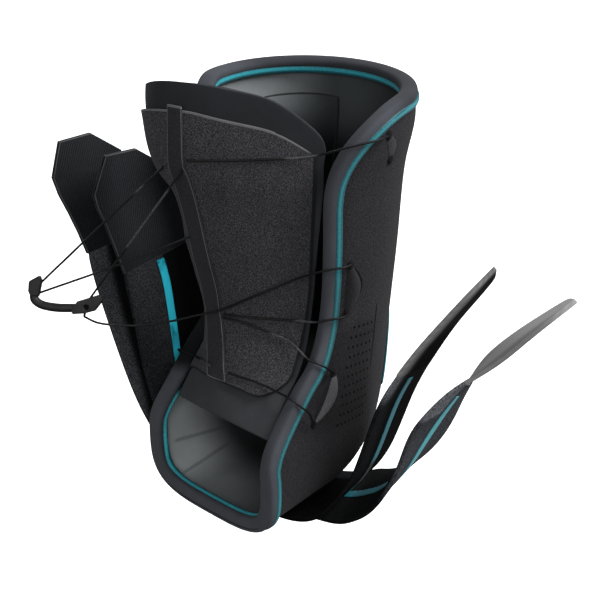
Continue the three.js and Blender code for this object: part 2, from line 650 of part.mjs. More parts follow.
// Wall on the flap between two levels, its right corners rounded off.
function tongueWall(shape) {
  const corner = (across, start) => Math.pow(Math.max((across - start) / (1 - start), 0), 2.5);
  const top = (across) => shape.top + shape.slope * Math.abs(across) + shape.round * corner(across, 0.55);
  const low = (across) => shape.low + shape.sag * across * across - shape.lowRound * corner(across, 0.6);
  const layer = (depth) => range(shape.rows + 1).map((i) => range(shape.columns + 1).map((j) => {
    const across = mix(shape.left, shape.right, j / shape.columns);
    return tongueAt(mix(top(across), low(across), i / shape.rows), across, depth);
  }));
  return wall(layer(shape.outer), layer(shape.inner));
}

// Flat strap section pieces: ribbon between two places of a strap table.
function strapFrame(rows, place) {
  const front = pointBetween(rows, 'front', place);
  const rear = pointBetween(rows, 'rear', place);
  const low = Math.max(place - 0.05, 0);
  const high = Math.min(place + 0.05, rows.length - 1);
  const centre = (where) => pointBetween(rows, 'front', where)
    .add(pointBetween(rows, 'rear', where))
    .multiplyScalar(0.5);
  const along = centre(high).sub(centre(low)).normalize();
  const width = rear.clone().sub(front);
  const facing = new THREE.Vector3().crossVectors(width, along).normalize();
  return { front, rear, along, facing, middle: centre(place), across: width.clone().normalize() };
}

function ribbon(rows, places, thickness, extra) {
  return loft(places.map((place) => {
    const { front, rear, facing, middle, across } = strapFrame(rows, place);
    const f = front.clone().addScaledVector(across, -extra);
    const r = rear.clone().addScaledVector(across, extra);
    const half = thickness / 2;
    return [
      f.clone().addScaledVector(facing, half),
      middle.clone().addScaledVector(facing, half),
      r.clone().addScaledVector(facing, half),
      r.clone().addScaledVector(facing, -half),
      middle.clone().addScaledVector(facing, -half),
      f.clone().addScaledVector(facing, -half),
    ];
  }));
}

// Coloured stripe on one face of a strap, shifted from its middle line towards the rear edge.
function stripe(rows, places, face, shift = 0) {
  return loft(places.map((place) => {
    const { facing, middle, across } = strapFrame(rows, place);
    const low = face * (STRAP_THICKNESS / 2 + SEAT_GAP);
    const high = face * (STRAP_THICKNESS / 2 + SEAT_GAP + STRIPE_THICKNESS);
    const corner = (side, height) => middle.clone()
      .addScaledVector(across, shift + (side * STRIPE_WIDTH) / 2)
      .addScaledVector(facing, height);
    return [corner(-1, low), corner(1, low), corner(1, high), corner(-1, high)];
  }));
}

function spread(first, last, steps) {
  return range(steps + 1).map((step) => mix(first, last, step / steps));
}

// Webbing strip down the middle of the flap cover, wider below.
function tongueStrip() {
  const low = -COVER_GAP - COVER_THICKNESS - SEAT_GAP;
  const high = low - STRIP_THICKNESS;
  const width = (level) => tonguePoint(level, 0.5).distanceTo(tonguePoint(level, -0.5));
  return loft(STRIP_LEVELS.map(({ level, half, shift }) => {
    const left = (shift - half) / width(level);
    const middle = shift / width(level);
    const right = (shift + half) / width(level);
    return [
      tongueAt(level, left, low), tongueAt(level, middle, low), tongueAt(level, right, low),
      tongueAt(level, right, high), tongueAt(level, middle, high), tongueAt(level, left, high),
    ];
  }));
}

// Padded panel on the inside of the back, its corners rounded.
function backPad() {
  const cells = 6;
  const round = 0.3;
  const ends = range(cells + 1).map((step) => (2 * step) / cells - 1);
  const spot = (a, b) => {
    const down = a * Math.sqrt(1 - (round * b * b) / 2);
    const across = b * Math.sqrt(1 - (round * a * a) / 2);
    return {
      place: mix(BACK_PAD.top, BACK_PAD.low, (down + 1) / 2),
      side: mix(BACK_PAD.left, BACK_PAD.right, (across + 1) / 2),
    };
  };
  const crown = (a, b) => (1 - Math.pow(a, 6)) * (1 - Math.pow(b, 6));
  const base = WALL_THICKNESS + PAD_CLEARANCE;
  const layer = (height) => ends.map((a) => ends.map((b) => sleeveAt(spot(a, b), base + height(a, b))));
  return wall(layer(() => 0), layer((a, b) => 0.8 + (PAD_THICKNESS - 0.8) * crown(a, b)));
}

// Round bead over the heel, on the outer face of the shell.
function heelPiping() {
  const left = HEEL_PATH.slice(0, -1).reverse().map(({ place, side }) => ({ place, side: -side }));
  const path = [...HEEL_PATH, ...left];
  const places = spread(0, path.length - 1, 18);
  const spots = places.map((at) => ({ place: between(path, 'place', at), side: between(path, 'side', at) }));
  const centres = spots.map((spot) => sleeveAt(spot, -SEAT_GAP - PIPING_RADIUS));
  return loft(spots.map((spot, index) => {
    const { outward } = sleeveSlopes(spot.place, spot.side);
    const before = centres[Math.max(index - 1, 0)];
    const after = centres[Math.min(index + 1, centres.length - 1)];
    const tangent = after.clone().sub(before).normalize();
    const across = new THREE.Vector3().crossVectors(outward, tangent).normalize();
    return range(PIPING_SIDES).map((side) => {
      const angle = (2 * Math.PI * (side + 0.5)) / PIPING_SIDES;
      return centres[index].clone()
        .addScaledVector(outward, PIPING_RADIUS * Math.cos(angle))
        .addScaledVector(across, PIPING_RADIUS * Math.sin(angle));
    });
  }));
}

// Spot of the sleeve's right side nearest to a point, sought from the best of a coarse set.
function spotOf(target) {
  let best = { place: 0, side: 0 };
  let least = Infinity;
  for (const place of spread(0.2, LAST_SECTION - 0.2, 24)) {
    for (const side of spread(5, sleeveSection(place).length, 16)) {
      const distance = sleevePoint(place, side).distanceTo(target);
      if (distance < least) {
        least = distance;
        best = { place, side };
      }
    }
  }
  return nearestSpot(best, target);
}

// Soft tunnel on the shell, a lens in outline that bulges towards the back.
function laceGuide(guide, hand) {
  const start = spotOf(new THREE.Vector3(guide.startX, guide.startY, guide.startZ));
  const end = spotOf(new THREE.Vector3(guide.endX, guide.endY, guide.endZ));
  const rows = spread(0, 1, 6);
  const columns = spread(-1, 1, 4);
  const spot = (a, b) => {
    const swell = Math.sin(Math.PI * a);
    const side = mix(start.side, end.side, a) - guide.bulge * swell + b * (0.8 + guide.half * swell);
    return { place: mix(start.place, end.place, a), side: hand * side };
  };
  const height = (a, b) => GUIDE_EDGE + GUIDE_HEIGHT * Math.sqrt(Math.sin(Math.PI * a)) * (1 - b * b);
  const top = rows.map((a) => columns.map((b) => sleeveAt(spot(a, b), -SEAT_GAP - height(a, b))));
  const base = rows.map((a) => columns.map((b) => sleeveAt(spot(a, b), -SEAT_GAP)));
  return wall(top, base);
}

// Cord of round section along a smooth curve through a few points.
function cord(points, radius, steps) {
  const section = new THREE.Shape();
  for (const side of range(LACE_SIDES)) {
    const angle = (2 * Math.PI * side) / LACE_SIDES;
    const x = radius * Math.cos(angle);
    const y = radius * Math.sin(angle);
    if (side === 0) {
      section.moveTo(x, y);
    } else {
      section.lineTo(x, y);
    }
  }
  section.closePath();
  const extrudePath = new THREE.CatmullRomCurve3(points, false, 'centripetal');
  return new THREE.ExtrudeGeometry(section, { steps, bevelEnabled: false, extrudePath });
}

const handleFrame = new THREE.Matrix4()
  .makeTranslation(HANDLE_CENTRE.x, HANDLE_CENTRE.y, HANDLE_CENTRE.z)
  .multiply(new THREE.Matrix4().makeRotationZ(THREE.MathUtils.degToRad(HANDLE_TURN)))
  .multiply(new THREE.Matrix4().makeRotationX(THREE.MathUtils.degToRad(90 - HANDLE_TILT)));

function clip(corners, hole) {
  const shape = new THREE.Shape(corners.map(({ u, v }) => new THREE.Vector2(u, v)));
  if (hole) {
    shape.holes.push(new THREE.Path().absarc(hole.u, hole.v, hole.radius, 0, 2 * Math.PI, true));
  }
  const settings = { depth: HANDLE_DEPTH, bevelEnabled: false, curveSegments: 4 };
  const geometry = new THREE.ExtrudeGeometry(shape, settings);
  return geometry.translate(0, 0, -HANDLE_DEPTH / 2).applyMatrix4(handleFrame);
}

function handleGrip() {
  const points = GRIP_PATH.map(({ u, v }) => new THREE.Vector3(u, v, 0).applyMatrix4(handleFrame));
  return cord(points, GRIP_RADIUS, 8);
}

const group = new THREE.Group();

function add(name, geometry, colour, roughness = 0.9) {
  const material = new THREE.MeshStandardMaterial({ color: colour, roughness, metalness: 0 });
  const mesh = new THREE.Mesh(geometry, material);
  mesh.name = name;
  group.add(mesh);
}

add('sleeve_shell', sleeveWall(CLOTH_INSET, 0, SHELL_THICKNESS), COLOURS.shell);
add('sleeve_lining', sleeveWall(CLOTH_INSET, SHELL_THICKNESS + SEAT_GAP, WALL_THICKNESS), COLOURS.lining);
add('edge_binding', edgeBinding(), COLOURS.binding);
const outerDepth = -SEAT_GAP - PIPING_RADIUS;
const innerDepth = WALL_THICKNESS + BINDING_INNER_GAP + PIPING_RADIUS;
add('outer_piping', edgePiping(BINDING_WIDTH, outerDepth), COLOURS.piping);
add('inner_piping', edgePiping(BINDING_INNER_WIDTH, innerDepth), COLOURS.piping);

add('tongue_pad', tongueWall({
  top: 0, slope: 0, round: 0.8, low: LAST_LEVEL, sag: 0, lowRound: 0,
  left: -1, right: 1, rows: 16, columns: 10,
  outer: 0, inner: TONGUE_THICKNESS,
}), COLOURS.pad);
add('tongue_cover', tongueWall({
  top: 0.68, slope: 0.19, round: 0.62, low: 7.6, sag: 0.55, lowRound: 1.05,
  left: -0.97, right: 0.945, rows: 14, columns: 10,
  outer: -COVER_GAP - COVER_THICKNESS, inner: -COVER_GAP,
}), COLOURS.cover);

const innerBody = spread(STRAP_INNER_TABS.leftEnd + 0.02, STRAP_INNER_TABS.rightStart - 0.02, 26);
add('strap_inner', ribbon(STRAP_INNER, innerBody, STRAP_THICKNESS, 0), COLOURS.strap);
const outerBody = spread(STRAP_OUTER_TABS.leftEnd + 0.02, STRAP_OUTER_TABS.rightStart - 0.02, 28);
add('strap_outer', ribbon(STRAP_OUTER, outerBody, STRAP_THICKNESS, 0), COLOURS.strap);

const leftTab = [0, 1, 1.5, 2, 2.5, 3];
const tab = (rows, places) => ribbon(rows, places, TAB_THICKNESS, TAB_OVERHANG);
add('hook_tab_left_front', tab(STRAP_INNER, leftTab), COLOURS.tab);
add('hook_tab_left_rear', tab(STRAP_OUTER, leftTab), COLOURS.tab);
add('hook_tab_right_front', tab(STRAP_INNER, spread(STRAP_INNER_TABS.rightStart, 20, 8)), COLOURS.tab);
add('hook_tab_right_rear', tab(STRAP_OUTER, spread(STRAP_OUTER_TABS.rightStart, 22, 8)), COLOURS.tab);

add('tongue_strip', tongueStrip(), COLOURS.strip);
add('back_pad', backPad(), COLOURS.lining);
add('heel_piping', heelPiping(), COLOURS.piping);

for (const guide of LACE_GUIDES) {
  add(guide.name + '_right', laceGuide(guide, 1), COLOURS.shell);
  if (LEFT_GUIDES.includes(guide.name)) {
    add(guide.name + '_left', laceGuide(guide, -1), COLOURS.shell);
  }
}

add('stripe_left_front', stripe(STRAP_INNER, spread(3.08, 6.2, 7), -1, -2.5), COLOURS.piping);
add('stripe_right_front', stripe(STRAP_INNER, spread(13.6, 16.4, 9), 1), COLOURS.piping);
add('stripe_right_rear', stripe(STRAP_OUTER, spread(14, 18, 12), 1), COLOURS.piping);
add('stripe_right_under', stripe(STRAP_OUTER, spread(11.6, 14.2, 8), -1), COLOURS.piping);

add('handle_clip_left', clip(CLIP_LEFT), COLOURS.handle, 0.5);
add('handle_clip_right', clip(CLIP_RIGHT, CLIP_HOLE), COLOURS.handle, 0.5);
add('handle_grip', handleGrip(), COLOURS.handle, 0.5);

for (const [name, lace] of Object.entries(LACES)) {
  const points = lace.path.map(([x, y, z]) => new THREE.Vector3(x, y, z));
  add(name, cord(points, LACE_DIAMETER / 2, lace.steps), COLOURS.lace, 0.6);
}

export default group;
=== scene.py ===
"""Dressed ankle splint: knit sleeve, laced front flap, pull handle and stirrup straps."""
import logging
import math
from dataclasses import dataclass, replace
from enum import Enum

import bpy
from mathutils import Matrix, Vector
from mathutils.bvhtree import BVHTree


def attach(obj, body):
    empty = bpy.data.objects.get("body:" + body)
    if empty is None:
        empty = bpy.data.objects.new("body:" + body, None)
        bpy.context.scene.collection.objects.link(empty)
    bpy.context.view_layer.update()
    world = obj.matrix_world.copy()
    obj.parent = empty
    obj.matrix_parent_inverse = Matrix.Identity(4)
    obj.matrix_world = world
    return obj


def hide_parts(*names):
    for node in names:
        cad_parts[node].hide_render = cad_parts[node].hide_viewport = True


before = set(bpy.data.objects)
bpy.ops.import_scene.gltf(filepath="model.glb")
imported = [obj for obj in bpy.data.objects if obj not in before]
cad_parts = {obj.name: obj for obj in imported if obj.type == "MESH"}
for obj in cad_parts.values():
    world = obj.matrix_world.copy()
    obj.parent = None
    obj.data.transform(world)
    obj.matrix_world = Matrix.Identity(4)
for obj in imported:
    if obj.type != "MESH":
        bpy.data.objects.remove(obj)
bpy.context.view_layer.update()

LOG = logging.getLogger("ankle_splint")
MM = 0.001
SHORTEST = 1e-6
Colour = tuple[float, float, float]
Triple = tuple[float, float, float]
Span = tuple[float, float]
Bounds = tuple[float | None, float | None, float | None]
Value = "Ink | float"


class Slot(Enum):
    """Material slots of the record."""

    SHELL = "shell"
    LINING = "lining"
    BINDING = "binding"
    PIPING = "piping"
    PAD = "pad"
    COVER = "cover"
    STRIP = "strip"
    STRAP = "strap"
    TAB = "tab"
    HANDLE = "handle"
    LACE = "lace"


class Lay(Enum):
    """How a lace runs between its ends."""

    TAUT = "taut"
    LOOSE = "loose"


# Shader sheets

class Ink:
    """Value on a node socket that takes Python operators."""

    def __init__(self, sheet: "Sheet", socket: bpy.types.NodeSocket) -> None:
        """Keep the socket.

        Args:
            sheet: node sheet that the socket belongs to.
            socket: output socket to wrap.
        """
        self.sheet = sheet
        self.socket = socket

    def _math(self, operation: str, first: Value, second: Value) -> "Ink":
        """Math node on two values.

        Args:
            operation: name of the Math operation.
            first: first value.
            second: second value.

        Returns:
            The result.
        """
        return self.sheet.node("ShaderNodeMath", {"operation": operation}, {0: first, 1: second})

    def __add__(self, other: Value) -> "Ink":
        """Sum."""
        return self._math("ADD", self, other)

    def __radd__(self, other: Value) -> "Ink":
        """Reflected sum."""
        return self._math("ADD", other, self)

    def __sub__(self, other: Value) -> "Ink":
        """Difference."""
        return self._math("SUBTRACT", self, other)

    def __rsub__(self, other: Value) -> "Ink":
        """Reflected difference."""
        return self._math("SUBTRACT", other, self)

    def __mul__(self, other: Value) -> "Ink":
        """Product."""
        return self._math("MULTIPLY", self, other)

    def __truediv__(self, other: Value) -> "Ink":
        """Quotient."""
        return self._math("DIVIDE", self, other)

    def __pow__(self, other: Value) -> "Ink":
        """Power."""
        return self._math("POWER", self, other)

    def part(self) -> "Ink":
        """Distance from the middle of the unit step that the value lies in."""
        return self._math("FRACT", self, 0.0) - 0.5

    def step(self, low: float, high: float) -> "Ink":
        """Smooth step of the value from 0 at low to 1 at high.

        Args:
            low: value where the step is 0.
            high: value where the step is 1.

        Returns:
            Share from 0 to 1.
        """
        settings = {"interpolation_type": "SMOOTHSTEP"}
        sockets = {"Value": self, "From Min": low, "From Max": high, "To Min": 0.0, "To Max": 1.0}
        return self.sheet.node("ShaderNodeMapRange", settings, sockets)


class Sheet:
    """Node sheet of one material."""

    grit = 0.6

    def __init__(self, name: str) -> None:
        """Start an empty material.

        Args:
            name: name of the material.
        """
        self.material = bpy.data.materials.new(name)
        self.material.use_nodes = True
        self.tree = self.material.node_tree
        self.tree.nodes.clear()
        self.place = self.node("ShaderNodeTexCoord", {}, {}, "Object")

    def node(self, kind: str, settings: dict, sockets: dict, output: str | int = 0) -> Ink:
        """Any node, with its settings made first and its sockets after.

        Args:
            kind: node type.
            settings: values of the node's own settings.
            sockets: values or links of its inputs, by name or number.
            output: name or number of the output to hand back.

        Returns:
            The chosen output.
        """
        made = self.tree.nodes.new(kind)
        for key, value in settings.items():
            setattr(made, key, value)
        by_name = {socket.identifier: socket for socket in made.inputs}
        for key, value in sockets.items():
            if isinstance(key, int):
                target = made.inputs[key]
            else:
                target = by_name.get(key) or made.inputs[key]
            if isinstance(value, Ink):
                self.tree.links.new(value.socket, target)
            elif isinstance(value, tuple) and len(value) == 3 and target.type == "RGBA":
                target.default_value = (*value, 1.0)
            else:
                target.default_value = value
        outputs = {socket.identifier: socket for socket in made.outputs}
        if isinstance(output, int):
            return Ink(self, made.outputs[output])
        return Ink(self, outputs.get(output) or made.outputs[output])

    def noise(self, grain: float, detail: float = 2.0) -> Ink:
        """Noise with spots of about the given size.

        Args:
            grain: size of a spot in metres.
            detail: octaves of finer noise.

        Returns:
            Noise from 0 to 1.
        """
        sockets = {"Vector": self.place, "Scale": 1.0 / grain, "Detail": detail, "Roughness": self.grit}
        return self.node("ShaderNodeTexNoise", {}, sockets, "Fac")

    def cells(self, size: float) -> Ink:
        """Distance to the middle of round cells of the given size."""
        sockets = {"Vector": self.place, "Scale": 1.0 / size}
        return self.node("ShaderNodeTexVoronoi", {"feature": "F1"}, sockets, "Distance")

    def axes(self) -> tuple[Ink, Ink, Ink]:
        """X, Y and Z of the object's own coordinates, each as one value."""
        split = self.node("ShaderNodeSeparateXYZ", {}, {"Vector": self.place})
        return tuple(Ink(self, output) for output in split.socket.node.outputs)

    def blend(self, first: "Ink | Colour", second: "Ink | Colour", share: Ink) -> Ink:
        """Mix of two colours.

        Args:
            first: colour where the share is 0.
            second: colour where the share is 1.
            share: share of the second colour.

        Returns:
            The mixed colour.
        """
        sockets = {"Factor_Float": share, "A_Color": first, "B_Color": second}
        return self.node("ShaderNodeMix", {"data_type": "RGBA"}, sockets, "Result_Color")

    def scale(self, colour: Ink, gain: Colour, share: Ink) -> Ink:
        """Colour multiplied by a gain where the share is 1.

        Args:
            colour: colour before.
            gain: what each channel is multiplied by.
            share: share of the gain.

        Returns:
            The colour after.
        """
        settings = {"data_type": "RGBA", "blend_type": "MULTIPLY"}
        sockets = {"Factor_Float": share, "A_Color": colour, "B_Color": gain}
        return self.node("ShaderNodeMix", settings, sockets, "Result_Color")

    def tint(self, colour: Ink, zones: "tuple[Zone, ...]") -> Ink:
        """Colour after every zone of a cloth.

        Args:
            colour: colour before.
            zones: zones in their order.

        Returns:
            The colour after.
        """
        for zone in zones:
            colour = zone.tint(self, colour)
        return colour

    def mark(self, name: str) -> Ink:
        """Value that a piece carries on its own points."""
        return self.node("ShaderNodeAttribute", {"attribute_name": name}, {}, "Fac")

    def bump(self, height: Ink, distance: float, strength: float) -> Ink:
        """Bumped normal.

        Args:
            height: height from 0 to 1.
            distance: height of a full step in metres.
            strength: strength of the bump.

        Returns:
            The normal.
        """
        sockets = {"Height": height, "Distance": distance, "Strength": strength}
        return self.node("ShaderNodeBump", {}, sockets, "Normal")

    def close(self, varying: dict[str, Ink], fixed: dict[str, float | Colour]) -> bpy.types.Material:
        """Shader and output of the sheet.

        Args:
            varying: what changes over the surface, by shader socket.
            fixed: numbers and colours that are the same all over.

        Returns:
            The finished material.
        """
        shader = self.node("ShaderNodeBsdfPrincipled", {}, {**fixed, **varying}, "BSDF")
        end = self.tree.nodes.new("ShaderNodeOutputMaterial")
        self.tree.links.new(shader.socket, end.inputs["Surface"])
        return self.material

    def coat(self, colour: Ink, rough: Ink, normal: Ink, shine: float, sheen: float) -> bpy.types.Material:
        """Shader and output of a cloth or a plastic.

        Args:
            colour: colour over the surface.
            rough: roughness over the surface.
            normal: bumped normal.
            shine: strength of its reflections.
            sheen: strength of its soft fuzz.

        Returns:
            The finished material.
        """
        varying = {"Base Color": colour, "Roughness": rough, "Normal": normal}
        return self.close(varying, {"Specular IOR Level": shine, "Sheen Weight": sheen})


def pile(layers: tuple[Ink, ...], shares: tuple[float, ...]) -> Ink:
    """Sum of layers, each times its own share.

    Args:
        layers: layers of a pattern.
        shares: share of each layer.

    Returns:
        The sum.
    """
    first, *others = (layer * share for layer, share in zip(layers, shares))
    return sum(others, start=first)


# Finishes

@dataclass(frozen=True)
class Zone:
    """Box with soft sides, in millimetres, where a cloth is painted darker or paler, mostly as painted
    shade and painted light. None leaves a side open.
    """

    gain: Colour
    low: Bounds
    high: Bounds
    soft: float = 4.0

    def tint(self, sheet: Sheet, colour: Ink) -> Ink:
        """Colour with the zone's gain in the box.

        Args:
            sheet: sheet of the cloth.
            colour: colour before.

        Returns:
            The colour after.
        """
        half = self.soft / 2
        sides = []
        for value, low, high in zip(sheet.axes(), self.low, self.high):
            if low is not None:
                sides.append(value.step((low - half) * MM, (low + half) * MM))
            if high is not None:
                sides.append(1.0 - value.step((high - half) * MM, (high + half) * MM))
        return sheet.scale(colour, self.gain, math.prod(sides[1:], start=sides[0]))


@dataclass(frozen=True)
class Fold:
    """Soft crease in a cloth between two points in millimetres."""

    start: Triple
    end: Triple
    width: float = 1.3
    lead: float = 2.0
    fade: float = 0.6

    def mask(self, sheet: Sheet) -> Ink:
        """Crease as a mask that is 1 on its line.

        Args:
            sheet: sheet of the cloth.

        Returns:
            The mask.
        """
        first, last = Vector(self.start) * MM, Vector(self.end) * MM
        length = (last - first).length
        line = (last - first).normalized()
        lead = self.lead * MM
        away = [value - origin for value, origin in zip(sheet.axes(), first)]
        along = away[0] * line.x + away[1] * line.y + away[2] * line.z
        square = away[0] * away[0] + away[1] * away[1] + away[2] * away[2]
        reach = (square - along * along) / (self.width * MM) ** 2
        ends = along.step(-lead, lead) * (1.0 - along.step(length * self.fade, length))
        return (1.0 - reach.step(0.0, 1.0)) * ends


@dataclass(frozen=True)
class Perforation:
    """Slanted rows of small holes and the sewn line behind them, on the right of the ankle."""

    row_step: float = 4.8 * MM
    hole_step: float = 2.75 * MM
    hole: float = 0.72 * MM
    rim: Span = (0.75, 1.2)
    slope: float = -0.087
    shift: float = 0.35
    low: float = -44 * MM
    high: float = 9 * MM
    row_fade: float = 1 * MM
    front: float = -12.6 * MM
    front_lean: float = 0.17
    back: float = 3.2 * MM
    back_lean: float = 0.04
    side_fade: float = 0.8 * MM
    seam: float = 5.0 * MM
    seam_square: Span = (0.05 * MM * MM, 0.5 * MM * MM)
    seam_start: Span = (-24 * MM, -8 * MM)
    seam_end: Span = (14 * MM, 17 * MM)
    seam_depth: float = 0.8
    side: Span = (20 * MM, 25 * MM)

    def mask(self, sheet: Sheet) -> Ink:
        """Holes and sewn line as a mask that is 1 where the cloth is dark: painted shade in the holes, and
        the dark sewn line.

        Args:
            sheet: sheet of the cloth.

        Returns:
            The mask.
        """
        x, y, z = sheet.axes()
        row = (z - y * self.slope) / self.row_step
        along = (y / self.hole_step + row * self.shift).part()
        across = row.part() * (self.row_step / self.hole_step)
        reach = (along * along + across * across) ** 0.5
        hole = self.hole / self.hole_step
        dots = 1.0 - reach.step(hole * self.rim[0], hole * self.rim[1])
        front = (y - z * self.front_lean).step(self.front, self.front + self.side_fade)
        back = 1.0 - (y - z * self.back_lean).step(self.back, self.back + self.side_fade)
        above = z.step(self.low, self.low + self.row_fade)
        below = 1.0 - z.step(self.high, self.high + self.row_fade)
        behind = y - z * self.back_lean - self.seam
        line = 1.0 - (behind * behind).step(*self.seam_square)
        run = z.step(*self.seam_start) * (1.0 - z.step(*self.seam_end))
        holes = dots * front * back * (above * below)
        return (holes + line * run * self.seam_depth) * x.step(*self.side)


@dataclass(frozen=True)
class LoopCloth:
    """Brushed loop cloth with pale flecks in a dark ground."""

    name: str
    dark: Colour
    pale: Colour
    fleck: float = 0.9 * MM
    amount: float = 0.8
    sheen: float = 0.04
    holes: Perforation | None = None
    zones: tuple[Zone, ...] = ()
    fleck_band: Span = (0.36, 0.74)
    hair: float = 0.45
    hair_detail: float = 1.0
    hair_band: Span = (0.5, 0.78)
    hair_share: float = 0.3
    hair_rough: float = 0.12
    loop: float = 1.1
    cloud: float = 9 * MM
    cloud_detail: float = 3.0
    cloud_base: float = 0.65
    cloud_gain: float = 0.7
    heights: Triple = (0.5, 0.3, 0.4)
    relief: float = 0.35 * MM
    strength: float = 0.75
    roughness: float = 0.86
    shine: float = 0.06
    # Near black: painted shade in the holes, and the colour of the dark sewn line.
    hole_shade_and_seam_colour: Colour = (0.001, 0.001, 0.001)
    hole_depth: float = 3.0

    def make(self) -> bpy.types.Material:
        """Material of the cloth.

        Returns:
            The material.
        """
        sheet = Sheet(self.name)
        tone = sheet.noise(self.cloud, self.cloud_detail)
        fleck = sheet.noise(self.fleck)
        hair = sheet.noise(self.fleck * self.hair, self.hair_detail)
        loops = sheet.cells(self.fleck * self.loop)
        flecks = (fleck.step(*self.fleck_band), hair.step(*self.hair_band))
        light = pile(flecks, (self.amount, self.hair_share)) * (self.cloud_base + tone * self.cloud_gain)
        colour = sheet.tint(sheet.blend(self.dark, self.pale, light), self.zones)
        height = pile((fleck, hair, 1.0 - loops), self.heights)
        # The holes are painted near black as painted shade in them; the sewn line takes the same dark
        # colour.
        if self.holes:
            holes = self.holes.mask(sheet)
            colour = sheet.blend(colour, self.hole_shade_and_seam_colour, holes)
            height = height - holes * self.hole_depth
        normal = sheet.bump(height, self.relief, self.strength)
        rough = self.roughness + hair * self.hair_rough
        return sheet.coat(colour, rough, normal, self.shine, self.sheen)


@dataclass(frozen=True)
class TapeCloth:
    """Smooth stretch tape with a fine slanted twill."""

    name: str
    dark: Colour
    pale: Colour
    zones: tuple[Zone, ...] = ()
    folds: tuple[Fold, ...] = ()
    cloud: float = 14 * MM
    cloud_band: Span = (0.3, 0.7)
    twill: float = 0.55 * MM
    twill_scale: float = 0.3
    twill_sway: float = 1.5
    twill_detail: float = 1.0
    hair: float = 0.8
    hair_band: Span = (0.35, 0.75)
    hair_rough: float = 0.12
    shares: Span = (0.5, 0.5)
    heights: Span = (0.6, 0.5)
    relief: float = 0.08 * MM
    strength: float = 0.5
    roughness: float = 0.8
    shine: float = 0.07
    sheen: float = 0.03
    # Gain of the painted shade along a fold's crease.
    crease: Colour = (0.66, 0.66, 0.66)
    crease_depth: float = 3.0

    def make(self) -> bpy.types.Material:
        """Material of the tape.

        Returns:
            The material.
        """
        sheet = Sheet(self.name)
        tone = sheet.noise(self.cloud)
        hair = sheet.noise(self.twill * self.hair)
        sway = {"Distortion": self.twill_sway, "Detail": self.twill_detail}
        lines = sheet.node(
            "ShaderNodeTexWave",
            {"wave_type": "BANDS", "bands_direction": "DIAGONAL"},
            {"Vector": sheet.place, "Scale": self.twill_scale / self.twill, **sway},
            "Fac",
        )
        share = pile((tone.step(*self.cloud_band), hair.step(*self.hair_band)), self.shares)
        colour = sheet.tint(sheet.blend(self.dark, self.pale, share), self.zones)
        height = pile((lines, hair), self.heights)
        # Each fold dents the cloth and darkens its colour along the crease as painted shade.
        for fold in self.folds:
            crease = fold.mask(sheet)
            colour = sheet.scale(colour, self.crease, crease)
            height = height - crease * self.crease_depth
        normal = sheet.bump(height, self.relief, self.strength)
        rough = self.roughness + hair * self.hair_rough
        return sheet.coat(colour, rough, normal, self.shine, self.sheen)


@dataclass(frozen=True)
class RibTape:
    """Hook tape with fine ribs along the strap."""

    name: str
    dark: Colour
    pale: Colour
    zones: tuple[Zone, ...] = ()
    pitch: float = 1.35 * MM
    slant: float = -0.35
    hook: float = 0.7 * MM
    hair: float = 0.6 * MM
    hair_band: Span = (0.45, 0.8)
    hair_rough: float = 0.2
    shares: Span = (0.55, 0.45)
    heights: Triple = (0.7, 0.3, 0.3)
    relief: float = 0.2 * MM
    strength: float = 0.6
    roughness: float = 0.7
    shine: float = 0.12
    sheen: float = 0.03

    def make(self) -> bpy.types.Material:
        """Material of the tape.

        Returns:
            The material.
        """
        sheet = Sheet(self.name)
        _, across, up = sheet.axes()
        rib = ((across + up * self.slant) / self.pitch).part()
        ridge = 1.0 - (rib * rib) * 4.0
        hooks = sheet.cells(self.hook)
        hair = sheet.noise(self.hair)
        share = pile((ridge, hair.step(*self.hair_band)), self.shares)
        colour = sheet.tint(sheet.blend(self.dark, self.pale, share), self.zones)
        height = pile((ridge, 1.0 - hooks, hair), self.heights)
        normal = sheet.bump(height, self.relief, self.strength)
        rough = self.roughness + hair * self.hair_rough
        return sheet.coat(colour, rough, normal, self.shine, self.sheen)


@dataclass(frozen=True)
class BeadCloth:
    """Bright woven bead or stripe; a crowned bead is painted palest along its crown, a painted highlight.
    """

    name: str
    deep: Colour
    bright: Colour
    crowned: bool = False
    zones: tuple[Zone, ...] = ()
    thread: float = 0.5 * MM
    thread_band: Span = (0.3, 0.7)
    thread_share: float = 0.35
    thread_rough: float = 0.2
    crown_share: float = 0.65
    flat_share: float = 0.5
    heights: Span = (0.6, 0.5)
    relief: float = 0.08 * MM
    strength: float = 0.5
    roughness: float = 0.45
    shine: float = 0.3
    sheen: float = 0.05

    def make(self) -> bpy.types.Material:
        """Material of the bead.

        Returns:
            The material.
        """
        sheet = Sheet(self.name)
        hair = sheet.noise(self.thread)
        cells = sheet.cells(self.thread)
        # A crowned bead is painted palest along its crown: a painted highlight.
        crown = sheet.mark("crown") * self.crown_share if self.crowned else self.flat_share
        share = hair.step(*self.thread_band) * self.thread_share + crown
        colour = sheet.tint(sheet.blend(self.deep, self.bright, share), self.zones)
        normal = sheet.bump(pile((hair, 1.0 - cells), self.heights), self.relief, self.strength)
        rough = self.roughness + hair * self.thread_rough
        return sheet.coat(colour, rough, normal, self.shine, self.sheen)


